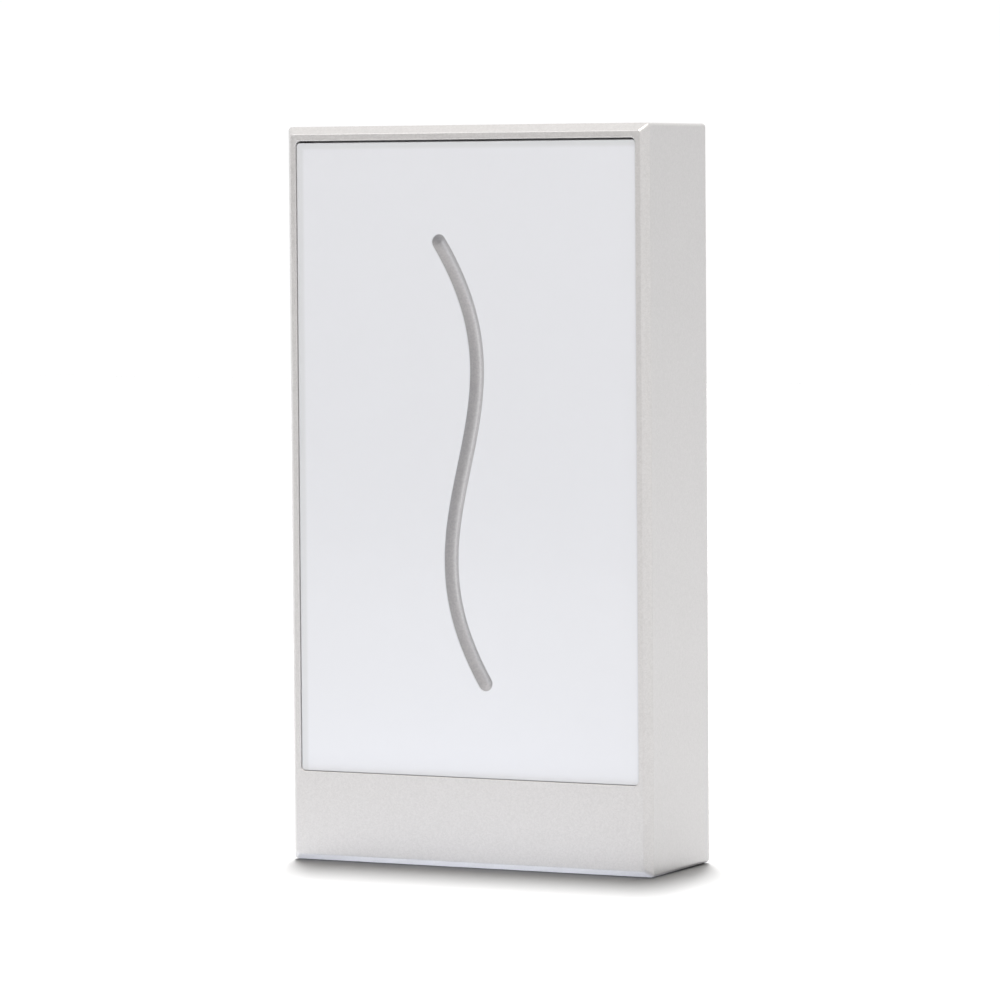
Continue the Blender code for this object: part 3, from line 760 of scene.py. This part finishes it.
def leds():
    """White cups with a yellow fill and plated ends."""
    for number in range(1, 7):
        node = f"led_{number}"
        x_range, (front, back), z_range = reach(node)
        made = solid(node + "_fine", slab(x_range, z_range, 0.25, (front, back), (0.08, 0), 4), "lamp")
        x, z = middle(x_range), middle(z_range)
        cup = [(0.85, 0.55), (1.15, -0.05), (1.15, -PAST)]
        cut_turned(made, [(x, front, z)], cup[::-1], sides=40)
        drop = turned([(0.9, 0.5), (1.13, 0.06), (0.6, 0.1), (0.1, 0.11)], 40)
        fill = solid("fill", drop, "phosphor", (x, front, z), ALONG_Y)
        ends = []
        for side in (-1, 1):
            end = z + side * 1.55
            ends.append(solid("end", box(about(x, 0.9), (back - 0.25, BOARD_Y[0]), about(end, 0.3)), "tin"))
        shown(gathered(made, [fill, *ends]), node)


def round_pins(at, apart, radius):
    """Two wire pins, one on each side of a component's middle, that join it to the board."""
    places = [(at[0] + side * apart, BOARD_Y[1], at[2]) for side in (-1, 1)]
    return [solid("pin", turned([(radius, 0), (radius, 0.5)], 16), "tin", place, ALONG_Y) for place in places]


def gull_leg(centre, side_turn, start, along, half_width):
    """Flat bent pin that leaves a chip's side and lands on the board."""
    foot, knee, thick = 0.02, 0.55, 0.14
    line = [(start - 0.2, knee), (start + 0.25, knee), (start + 0.5, foot), (start + 0.95, foot)]
    outline = line + [(out, height + thick) for out, height in line[::-1]]
    rings = []
    for across in (along - half_width, along + half_width):
        ring = []
        for out, height in outline:
            x, z = spun(out, across, side_turn)
            ring.append((centre[0] + x, BOARD_Y[1] + height, centre[1] + z))
        rings.append(ring)
    return solid("leg", loft(rings), "tin")


def chip(node, pins, pitch):
    """Square chip with a pin-one dimple and bent pins on its four sides."""
    x_range, (front, back), z_range = reach(node)
    form = slab(x_range, z_range, 0.3, (front - 0.15, back), (0.1, 0.18), 3)
    made = solid(node + "_fine", form, "black_plastic")
    dimple = (x_range[0] + 1.0, back, z_range[1] - 1.0)
    cut_turned(made, [dimple], [(0.35, -0.12), (0.5, 0.05), (0.5, PAST)], sides=24)
    centre = (middle(x_range), middle(z_range))
    half = (x_range[1] - x_range[0]) / 2
    legs = []
    for side in range(4):
        for pin in range(pins):
            along = (pin - (pins - 1) / 2) * pitch
            legs.append(gull_leg(centre, side * math.pi / 2, half, along, 0.13))
    shown(gathered(made, legs), node)


def buzzer():
    x_range, (front, back), z_range = reach("buzzer")
    at = (middle(x_range), front, middle(z_range))
    tall = back - front
    profile = filleted(
        [(3, 0), (6.0, 0), (6.0, 0.7), (5.75, 0.7), (5.75, tall), (1.2, tall), (1.2, tall - 0.9),
         (0.1, tall - 0.9)],
        [0.1, 0.1, 0.05, 0.5, 0.12, 0.1],
    )
    made = solid("buzzer_fine", turned(profile, 64), "black_plastic", at, ALONG_Y)
    shown(gathered(made, round_pins(at, 3.2, 0.3)), "buzzer")


def crystal():
    """Drawn can with a flat rim round its foot."""
    x_range, (front, back), z_range = reach("crystal")
    rings = []
    half_x, half_z = (x_range[1] - x_range[0]) / 2, (z_range[1] - z_range[0]) / 2
    line = filleted([(2, 0), (0, 0), (0, 0.5), (0.5, 0.5), (0.5, back - front), (1.7, back - front)],
                    [0.12, 0.12, 0.12, 0.45])[1:]
    for inset, y in line:
        wide, tall = half_x - inset, half_z - inset
        rings.append(at_depth(rounded((-wide, wide), (-tall, tall), tall * 0.98, 8), y))
    at = (middle(x_range), front, middle(z_range))
    made = solid("crystal_fine", loft(rings), "can", at)
    shown(gathered(made, round_pins(at, 2.4, 0.22)), "crystal")


def voltage_regulator():
    """Block with a wide tab on its lower side and three pins on its upper side."""
    x_range, y_range, _ = reach("voltage_regulator")
    x, z = middle(x_range), 36.0
    form = slab(about(x, 3.25), about(z, 1.75), 0.15, y_range, (0.15, 0.2), 3)
    made = solid("voltage_regulator_fine", form, "black_plastic")
    tab = solid("tab", box(about(x, 1.5), (BOARD_Y[1], y_range[0] + 0.6), (z - 3.4, z - 1.6)), "tin")
    legs = [gull_leg((x, z), math.pi / 2, 1.75, along, 0.35) for along in (-2.3, 0, 2.3)]
    shown(gathered(made, [tab, *legs]), "voltage_regulator")


def capacitors():
    """Crimped cans with a scored top, each on a black base."""
    for number in (1, 2):
        node = f"capacitor_{number}"
        x_range, (front, back), z_range = reach(node)
        at = (middle(x_range), front, middle(z_range))
        tall = back - front
        profile = filleted(
            [(1, 0.5), (3.1, 0.5), (3.1, 0.9), (2.85, 1.25), (3.1, 1.6), (3.1, tall), (2.6, tall),
             (2.4, tall - 0.12), (0.1, tall - 0.12)],
            [0.1, 0.15, 0.2, 0.15, 0.3, 0.05, 0.05],
        )
        made = solid(node + "_fine", turned(profile, 56), "can", at, ALONG_Y)
        score = 0.09
        marks = []
        for turn in (0, math.pi / 3, 2 * math.pi / 3):
            groove = box((-score, score), (tall - 0.2, tall + PAST), (-1.9, 1.9))
            marks.append(solid("score", groove, at=at, turn=(0, turn, 0)))
        combine(made, marks, "DIFFERENCE")
        half = 3.15
        base = slab(about(at[0], half), about(at[2], half), 0.5, (front - 0.25, front + 0.75), (0.05, 0.1), 3)
        foot = solid("base", base, "black_plastic")
        shown(gathered(made, [foot]), node)


def cable_header():
    """Shrouded connector with a key gap and eight square pins."""
    x_range, (front, back), z_range = reach("cable_header")
    form = slab(x_range, z_range, 0.25, (front, back), (0.1, 0.12), 3)
    made = solid("cable_header_fine", form, "cream_plastic")
    x, z = middle(x_range), middle(z_range)
    inside = slab(about(x, 9), about(z, 1.9), 0.2, (front + 1.2, back + PAST), (0.1, 0), 3)
    key = box(about(x, 2.5), (front + 2.5, back + PAST), (z - 3.5, z - 1.5))
    chamfer = loft([
        at_depth(rounded(about(x, 9), about(z, 1.9), 0.2, 3), back - 0.3),
        at_depth(rounded(about(x, 9.35), about(z, 2.25), 0.3, 3), back + 0.05),
    ])
    cut(made, [inside, key, chamfer])
    pins = []
    for place in range(8):
        pin = x + 2.1 * (place - 3.5)
        rings = []
        for half, y in ((0.25, BOARD_Y[1]), (0.25, front + 4.3), (0.12, front + 4.65)):
            rings.append(at_depth(rectangle(about(pin, half), about(z, half)), y))
        pins.append(solid("pin", loft(rings), "tin"))
    shown(gathered(made, pins), "cable_header")


def tamper_switch():
    """Block with a well for the spring and a contact post in the middle of the well."""
    x_range, (front, back), z_range = reach("tamper_switch")
    form = slab(x_range, z_range, 0.5, (front, back), (0.1, 0.25), 4)
    made = solid("tamper_switch_fine", form, "black_plastic")
    well = [(3.0, -0.4), (3.0, back - 0.25), (3.25, back), (3.25, back + PAST)]
    cut_turned(made, [TAMPER_AXIS], well)
    post = filleted([(1.2, -0.45), (1.2, 0.1), (0.1, 0.1)], [0.15])
    contact = solid("post", turned(post, 32), "copper", TAMPER_AXIS, ALONG_Y)
    half = (x_range[1] - x_range[0]) / 2
    legs = [gull_leg((TAMPER_X, TAMPER_Z), side, half, along, 0.3)
            for side in (0, math.pi) for along in (-2.4, 2.4)]
    shown(gathered(made, [contact, *legs]), "tamper_switch")


# ---- Screws, nut and spring


def thread_ring(core, depth, height, pitch, sides):
    """Section of a thread at this height: its radius is largest where the helix passes."""
    ring = []
    for side in range(sides):
        turn = side / sides
        share = (height / pitch - turn) % 1
        radius = core + depth * max(0, 1 - 2.4 * abs(share - 0.5))
        ring.append((radius * math.cos(2 * math.pi * turn), radius * math.sin(2 * math.pi * turn), height))
    return ring


def screw_form(shank, length, pitch, point, head, sides=32, rows=8):
    """Screw along Z from its tip at -length to its head, a profile that starts at the seat."""
    depth = 0.2 * shank
    count = int(length / pitch * rows)
    rings = []
    for row in range(count + 1):
        height = -length + length * row / count
        taper = min(1, 0.25 + (height + length) / point)
        fade = min(1, (height + length) / point, max(0, -height / pitch))
        rings.append(thread_ring((shank - depth) * taper, depth * fade, height, pitch, sides))
    return loft(rings + [circle(radius, height, sides) for radius, height in head])


def cross_recess(top, size, depth):
    """Cutter for a cross recess that narrows downwards, from a head whose top is at this height."""
    wide, narrow = size * 0.2, size * 0.13
    arms = []
    for turn in (0, math.pi / 2):
        rings = []
        for height, half_long, half_wide in (
            (top - depth, size * 0.35, narrow), (top + 0.02, size, wide), (top + PAST, size, wide)
        ):
            outline = rectangle(about(0, half_long), about(0, half_wide))
            rings.append([(*spun(x, y, turn), height) for x, y in outline])
        arms.append(loft(rings))
    return arms


def pan_screws(name, places, shank, radius, height, length, pitch):
    """Pan-head thread-forming screws driven towards the front."""
    head = filleted([(shank, 0), (radius, 0), (radius, height), (0.1, height)], [0.06, height * 0.62], 6)
    for number, place in enumerate(places):
        node = f"{name}_{number + 1}"
        form = screw_form(shank, length, pitch, 1.2, head)
        made = solid(node + "_fine", form, "zinc_steel", place, ALONG_Y)
        cut(made, cross_recess(height, radius * 0.55, height * 0.75), place, ALONG_Y)
        shown(made, node)


def hexagon(across, height):
    return circle(across / math.sqrt(3), height, 6)


def security_screw():
    """Button head with a pin in its hexagon socket, sunk in the bottom wall."""
    seat = 1.4
    low, top = (end - seat for end in reach("security_screw")[2])
    head = filleted([(1.2, 0), (2.8, 0), (2.8, -0.35), (2.0, low), (0.1, low)], [0.08, 0.2, 0.5], 5)
    place = (0, SECURITY_Y, seat)
    form = screw_form(1.45, top, 0.5, 0.7, [(radius, -height) for radius, height in head])
    made = solid("security_screw_fine", form, "zinc_steel", place, (math.pi, 0, 0))
    cut(made, [loft([hexagon(2.1, low - PAST), hexagon(2.1, low + 0.75)])], place)
    pin = filleted([(0.4, low + 0.8), (0.4, low + 0.08), (0.05, low + 0.08)], [0.08])
    join(made, [turned(pin, 24)], place)
    shown(made, "security_screw")


def bracket_nut():
    """Clinched nut with a knurled shoulder."""
    x_range, _, (base, top) = reach("bracket_nut")
    sides, bore, outer = 72, 1.8, x_range[1]
    tall = top - base
    rings = []
    profile = [(bore, 0), (outer, 0), (outer, tall), (bore + 0.3, tall), (bore, tall - 0.3)]
    outside = filleted(profile, [0.1, 0.35, 0])
    for radius, height in outside:
        knurled = radius > outer - 0.02 and height < 0.6 * tall
        ring = circle(radius, height, sides)
        if knurled:
            ring = [(x * (1 - 0.03 * (place % 2)), y * (1 - 0.03 * (place % 2)), z)
                    for place, (x, y, z) in enumerate(ring)]
        rings.append(ring)
    rows = 40
    for row in range(1, rows):
        height = (tall - 0.3) * (1 - row / rows)
        rings.append([(x, y, height) for x, y, _ in thread_ring(bore, -0.12, height, 0.5, sides)])
    made = solid("bracket_nut_fine", loft(rings, closed=True), "zinc_steel", (0, SECURITY_Y, base))
    shown(made, "bracket_nut")


def tamper_spring():
    """Wound wire with closed ends."""
    y_range = reach("tamper_spring")[1]
    wire, radius = 0.2, 2.1
    low, high = y_range[0] + wire, y_range[1] - wire
    closed, active, per_turn = 1.0, 3.5, 40
    turns = active + 2 * closed
    end_rise = 2 * wire + 0.02
    rings = []
    for step in range(int(turns * per_turn) + 1):
        turn = step / per_turn
        if turn < closed:
            height = low + end_rise * turn / closed
        elif turn > turns - closed:
            height = high - end_rise * (turns - turn) / closed
        else:
            height = low + end_rise + (high - low - 2 * end_rise) * (turn - closed) / active
        angle = 2 * math.pi * turn
        ring = []
        for out, rise, _ in circle(wire, 0, 12):
            ring.append(((radius + out) * math.cos(angle), (radius + out) * math.sin(angle), height + rise))
        rings.append(ring)
    made = solid("tamper_spring_fine", loft(rings), "zinc_steel", TAMPER_AXIS, ALONG_Y)
    shown(made, "tamper_spring")
    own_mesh(made)


# ---- Rear cover, gasket, grommet and plunger


def cover_gasket():
    """Flat cord of rubber with a raised round bead."""
    x_range, (front, back), z_range = reach("cover_gasket")
    band = 1.3
    line = filleted(
        [(0.65, front), (0, front), (0, back - 0.25), (0.3, back - 0.25), (0.4, back), (0.9, back),
         (1.0, back - 0.25), (band, back - 0.25), (band, front), (0.65, front)],
        [0.1, 0.05, 0, 0.15, 0.15, 0, 0.05, 0.1], 3,
    )[:-1]
    rings = []
    for inset, y in line:
        corner = REAR_BAY_CORNER + 0.2 - inset * 0.8
        edge = rounded(widened(x_range, -inset), widened(z_range, -inset), corner, 6)
        rings.append(at_depth(edge, y))
    shown(solid("cover_gasket_fine", loft(rings, closed=True), "rubber"), "cover_gasket")


def rear_cover():
    form = slab(COVER_X, COVER_Z, 1.5, (COVER_Y[0], COVER_BACK), (0.2, 0.3))
    made = solid("rear_cover_fine", form, "grey_plastic")
    sunk = COVER_BACK - 0.6
    additions = []
    for side in (-1, 1):
        keeper = about(side * KEEPER_X, KEEPER_HALF)
        additions.append(slab(keeper, KEEPER_Z, 0.5, (sunk, KEEPER_BACK), (0, 0.3), 4))
        rib = about(side * RIB_X, 0.6)
        additions.append(slab(rib, RIB_Z, 0.55, (sunk, COVER_BACK + 1.0), (0, 0.3), 6))
    join(made, additions)
    boss = filleted([(4.4, sunk - COVER_BACK), (4.3, 0), (3.8, 0.5), (3.8, 2.1), (1, 2.1)], [0, 0.4, 0.3])
    join(made, [turned(boss)], (TAMPER_X, COVER_BACK, TAMPER_Z), ALONG_Y)
    slots = []
    for side in (-1, 1):
        gap = about(side * KEEPER_X, KEEPER_SLOT_HALF)
        slots.append(box(gap, (COVER_BACK, KEEPER_BAR), widened(KEEPER_Z, PAST)))
    cut(made, slots)
    cover_holes(made)
    shown(made, "rear_cover")


def cover_holes(cover):
    back = COVER_BACK
    cut_turned(cover, [(0, back, GROMMET_Z)], [(4.8, -4), (4.8, PAST)], sides=64)
    cut_turned(cover, [(TAMPER_X, back, TAMPER_Z)], [(2.2, -4), (2.2, 1.8), (2.5, 2.15), (2.5, 4)])
    places = [(x, back, z) for x, z in corners(COVER_SCREW_X, COVER_SCREW_Z)]
    cut_turned(cover, places, [(1.65, -4), (1.65, -0.5)], sides=32)
    cut_turned(cover, places, [(3.1, -0.9), (3.1, -0.15), (3.35, 0.1), (3.35, PAST)])
    marks = [(x, back, z) for x, z in corners(13.0, (26.0, 90.0))]
    cut_turned(cover, marks, [(2.2, -0.1), (2.2, PAST)])


def cable_grommet():
    """Round rubber seal, with a groove for the cover and two lips in its bore."""
    x_range, (front, back), _ = reach("cable_grommet")
    lip, neck, bore = x_range[1], 4.5, 3.2
    groove = (COVER_Y[0] - 0.3, COVER_BACK + 0.3)
    line = filleted(
        [(bore + 0.4, front), (lip, front), (lip, groove[0]), (neck, groove[0]), (neck, groove[1]),
         (lip, groove[1]), (lip, 8.8), (4.6, back), (bore, back), (bore, back - 0.7), (bore + 0.35, 8.9),
         (bore + 0.35, 7.0), (bore, 6.5), (bore, 6.0), (bore + 0.35, 5.5), (bore + 0.4, front)],
        [0.3, 0.3, 0.1, 0.1, 0.3, 0.3, 0.25, 0.2, 0.15, 0.2, 0.2, 0.2, 0.2, 0.2], 4,
    )[:-1]
    form = turned(line, 72, bored=True)
    made = solid("cable_grommet_fine", form, "rubber", (0, 0, GROMMET_Z), ALONG_Y)
    shown(made, "cable_grommet")


def tamper_plunger():
    """Turned pin with a collar behind the cover and a domed tip at the wall."""
    start, tip = reach("tamper_plunger")[1]
    line = filleted(
        [(0.1, start), (1.1, start), (1.1, 4.0), (2.9, 4.0), (2.9, 5.0), (1.9, 5.0), (1.9, tip), (0.1, tip)],
        [0.25, 0.15, 0.2, 0.2, 0.15, 0.9], 8,
    )
    made = solid("tamper_plunger_fine", turned(line, 64), "plunger_plastic", TAMPER_AXIS, ALONG_Y)
    shown(made, "tamper_plunger", "plunger")


# ---- Wall bracket


def fold_cutter(x_range, corner, away):
    """What a fold's round outside leaves off a square corner. away is its outward (y, z) direction."""
    (y, z), (dy, dz) = corner, away
    centre = (y - dy * BEND, z - dz * BEND)
    outline = [(y + dy * PAST, z - dz * BEND), (y + dy * PAST, z + dz * PAST), (y - dy * BEND, z + dz * PAST)]
    for step in range(9):
        angle = math.radians(90) * step / 8
        outline.append((centre[0] + dy * BEND * math.sin(angle), centre[1] + dz * BEND * math.cos(angle)))
    return strip(x_range, outline)


def wall_bracket():
    """Folded plate: a tongue at its foot, two hooks, slots for wall screws and a cable window."""
    back = PLATE_FRONT + PLATE_THICK
    soft = 0.15
    low = PLATE_Z[0]
    plate = slab(PLATE_X, PLATE_Z, PLATE_CORNER, (PLATE_FRONT, back), (soft, soft), 10)
    made = solid("wall_bracket_fine", plate, "zinc_steel")
    tongue_y = (PLATE_Y[0], PLATE_FRONT + 0.5)
    tongue = slab(about(0, TONGUE_HALF), tongue_y, 1.0, (low, low + PLATE_THICK), (0.1, 0.1), 6)
    y_and_z_swapped = Matrix(((1, 0, 0, 0), (0, 0, 1, 0), (0, 1, 0, 0), (0, 0, 0, 1)))
    bmesh.ops.transform(tongue, matrix=y_and_z_swapped, verts=tongue.verts)
    parts = [tongue]
    for side in (-1, 1):
        span = about(side * KEEPER_X, HOOK_HALF)
        parts.append(box(span, (HOOK_Y[0], PLATE_FRONT + 0.5), (HOOK_Z[0], HOOK_Z[0] + PLATE_THICK)))
        parts.append(slab(span, HOOK_Z, 0.4, HOOK_Y, (0.1, 0.1), 4))
    join(made, parts)
    through = (PLATE_FRONT - PAST, back + PAST)
    openings = [prism(rounded(CABLE_WINDOW_X, CABLE_WINDOW_Z, 3.0, 10), *through)]
    for side in (-1, 1):
        window = about(side * KEEPER_X, HOOK_WINDOW_HALF)
        heights = (HOOK_Z[0] + PLATE_THICK, HOOK_WINDOW_TOP)
        openings.append(prism(rounded(window, heights, 0.6, 5), PLATE_FRONT - 0.2, back + PAST))
        for spacing in SLOT_SPACINGS:
            length, width = WALL_SLOT
            z = GROMMET_Z + side * spacing / 2
            slot = rounded(about(0, length / 2), about(z, width / 2), width / 2 - 0.01, 12)
            openings.append(prism(slot, *through))
    cut(made, openings)
    cut(made, folds(back, low))
    cut_turned(made, [(TAMPER_X, PLATE_FRONT, TAMPER_Z)], [(3.2, -PAST), (3.2, PLATE_THICK + PAST)], sides=56)
    cut_turned(made, [(0, SECURITY_Y, low)], [(1.8, -PAST), (1.8, PLATE_THICK + PAST)], (0, 0, 0), 48)
    shown(made, "wall_bracket")


def folds(back, low):
    """Round outsides of the tongue's and hooks' folds, and relief notches beside the tongue."""
    made = [fold_cutter(about(0, TONGUE_HALF + 0.01), (back, low), (1, -1))]
    for side in (-1, 1):
        edge = side * (TONGUE_HALF + 0.5)
        made.append(box(about(edge, 0.5), (PLATE_FRONT - PAST, back + PAST), (low - PAST, low + 2.2)))
        span = about(side * KEEPER_X, HOOK_HALF + 0.01)
        made.append(fold_cutter(span, (HOOK_Y[0], HOOK_Z[0]), (-1, -1)))
    return made


# ---- Stage


CAMERA_TURN = math.radians(26.40)
CAMERA_RISE = math.radians(3.27)
CAMERA_ROLL = math.radians(-0.41)
CAMERA_AWAY = 0.887
CAMERA_LENS = 196.06
LOOK_AT = Vector((0.0006, 0.0, 0.0591))
FLOOR_X = (-2000.0, 2000.0)
FLOOR_Y = (-650.0, 2000.0)
FLOOR_TOP = -0.15
FLOOR_LIGHT_AWAY = 15.0
FLOOR_LIGHT_LONG = math.radians(6.5)
FLOOR_LIGHT_WIDE = math.radians(2.0)
FLOOR_LIGHT_LEAN = math.radians(7.2)
FLOOR_LIGHT_POWER = 14900.0
UNDER_SIZE = (0.07, 0.01)
UNDER_PLACE = (0.0, -0.018, -0.012)
UNDER_POWER = 0.0161
UNDER_COLOUR = (0.87, 0.91, 1.0)
WHITE = (1.0, 1.0, 1.0)
WARM = (1.0, 0.94, 0.86)
# Each softbox: turn and rise in degrees, distance and size in metres, power, and colour unless it is white
KEY_LIGHT = (-35, 37, 1.3, 0.5, 2.6)
OVERHEAD_LIGHT = (20, 57, 1.2, 0.4, 8.2, WARM)
SLOT_LIGHT = (-20, 15, 1.3, 0.9, 14.0)
SURROUND = 1.02
# Each dark part: direction it lies in, loss of strength, degrees from its middle to its outer and inner edge
SURROUND_DARK = ((-10, 0.74, 76, 45), (118, 0.30, 58, 40))


def direction(turn, rise):
    """Unit vector from the object outwards. Turn 0 is in front and 90 degrees on the +X side."""
    return Vector((math.sin(turn) * math.cos(rise), -math.cos(turn) * math.cos(rise), math.sin(rise)))


def camera():
    back = direction(CAMERA_TURN, CAMERA_RISE)
    level = Vector((math.cos(CAMERA_TURN), math.sin(CAMERA_TURN), 0))
    upright = back.cross(level)
    right = level * math.cos(CAMERA_ROLL) + upright * math.sin(CAMERA_ROLL)
    up = upright * math.cos(CAMERA_ROLL) - level * math.sin(CAMERA_ROLL)
    data = bpy.data.cameras.new("camera")
    data.lens = CAMERA_LENS
    data.sensor_width = 36
    data.clip_start = 0.01
    data.clip_end = 50
    made = bpy.data.objects.new("camera", data)
    turned_to_object = Matrix((right, up, back)).transposed().to_4x4()
    made.matrix_world = Matrix.Translation(LOOK_AT + back * CAMERA_AWAY) @ turned_to_object
    bpy.context.scene.collection.objects.link(made)
    bpy.context.scene.camera = made


def area_light(name, size, power, colour=WHITE):
    """Rectangular light that the camera doesn't see."""
    data = bpy.data.lights.new(name, "AREA")
    data.shape = "RECTANGLE"
    data.size, data.size_y = size
    data.energy = power
    data.color = colour
    made = bpy.data.objects.new(name, data)
    made.visible_camera = False
    bpy.context.scene.collection.objects.link(made)
    return made


def keep_to(light, pieces):
    """Lets a light reach these pieces and no others."""
    only = bpy.data.collections.new(light.name + "_only")
    for piece in pieces:
        only.objects.link(piece)
    light.light_linking.receiver_collection = only


def softbox(name, turn, rise, away, size, power, colour=WHITE):
    """Square light that faces the object's middle."""
    made = area_light(name, (size, size), power, colour)
    outwards = direction(math.radians(turn), math.radians(rise))
    made.location = LOOK_AT + outwards * away
    made.rotation_mode = "QUATERNION"
    made.rotation_quaternion = outwards.to_track_quat("Z", "Y")
    return made


def floor():
    """White table whose front edge is a little way before the object."""
    near, far = FLOOR_Y
    form = box(FLOOR_X, (-10, 0), (-far, -near))
    plane = solid("floor", form, "floor", (0, 0, FLOOR_TOP), (math.radians(90), 0, 0))
    return plane


def floor_light(plane):
    """Long high light on the floor alone. Its shadow is short and lies towards the camera."""
    size = [2 * FLOOR_LIGHT_AWAY * math.tan(half) for half in (FLOOR_LIGHT_WIDE, FLOOR_LIGHT_LONG)]
    made = area_light("floor_light", size, FLOOR_LIGHT_POWER)
    turned_away = Matrix.Rotation(CAMERA_TURN, 4, "Z") @ Matrix.Rotation(-FLOOR_LIGHT_LEAN, 4, "X")
    made.matrix_world = turned_away @ Matrix.Translation((0, 0, FLOOR_LIGHT_AWAY))
    keep_to(made, [plane])


def under_light():
    """Narrow strip close under the front edge, which the table doesn't stop and which doesn't light it."""
    made = area_light("under_light", UNDER_SIZE, UNDER_POWER, UNDER_COLOUR)
    made.location = UNDER_PLACE
    made.rotation_euler = (math.pi, 0, 0)
    keep_to(made, [piece for piece in bpy.data.objects if piece.type == "MESH" and piece.name != "floor"])
    made.light_linking.blocker_collection = made.light_linking.receiver_collection


def slot_light():
    """Low light from the left that shades the groove of the light guide and lights nothing else."""
    keep_to(softbox("slot", *SLOT_LIGHT), [bpy.data.objects["light_guide_fine"]])


def surroundings():
    """Bright studio all round, darker in front and a little darker on the right."""
    world = bpy.data.worlds.new("studio")
    world.use_nodes = True
    tree = world.node_tree
    outwards = tree.nodes.new("ShaderNodeTexCoord").outputs["Generated"]
    strength = SURROUND
    for turn, loss, outer, inner in SURROUND_DARK:
        along = tree.nodes.new("ShaderNodeVectorMath")
        along.operation = "DOT_PRODUCT"
        along.inputs[1].default_value = direction(math.radians(turn), 0)
        tree.links.new(outwards, along.inputs[0])
        near, far = math.cos(math.radians(inner)), math.cos(math.radians(outer))
        darker = ranged(tree, along.outputs["Value"], 0.0, loss, far, near)
        strength = calculate(tree, "SUBTRACT", strength, darker)
    tree.links.new(strength, tree.nodes["Background"].inputs["Strength"])
    tree.nodes["Background"].inputs["Color"].default_value = (1, 1, 1, 1)
    bpy.context.scene.world = world
    bpy.context.scene.view_settings.view_transform = "Standard"


def build():
    front_housing()
    front_panel()
    panel_adhesive()
    light_guide()
    main_board()
    antenna_coil()
    leds()
    chip("microcontroller", 8, 0.8)
    chip("reader_chip", 6, 0.7)
    buzzer()
    crystal()
    voltage_regulator()
    capacitors()
    cable_header()
    tamper_switch()
    seats = [(x, BOARD_Y[1] + 0.3, z) for x, z in corners(BOARD_SCREW_X, BOARD_SCREW_Z)]
    pan_screws("board_screw", seats, 1.0, 2.2, 1.4, 5.0, 0.8)
    cover_gasket()
    rear_cover()
    cable_grommet()
    seats = [(x, 6.9, z) for x, z in corners(COVER_SCREW_X, COVER_SCREW_Z)]
    pan_screws("cover_screw", seats, 1.3, 2.7, 1.6, 11.0, 1.0)
    tamper_plunger()
    tamper_spring()
    wall_bracket()
    bracket_nut()
    security_screw()


build()
surroundings()
camera()
floor_light(floor())
softbox("key", *KEY_LIGHT)
softbox("overhead", *OVERHEAD_LIGHT)
slot_light()
under_light()
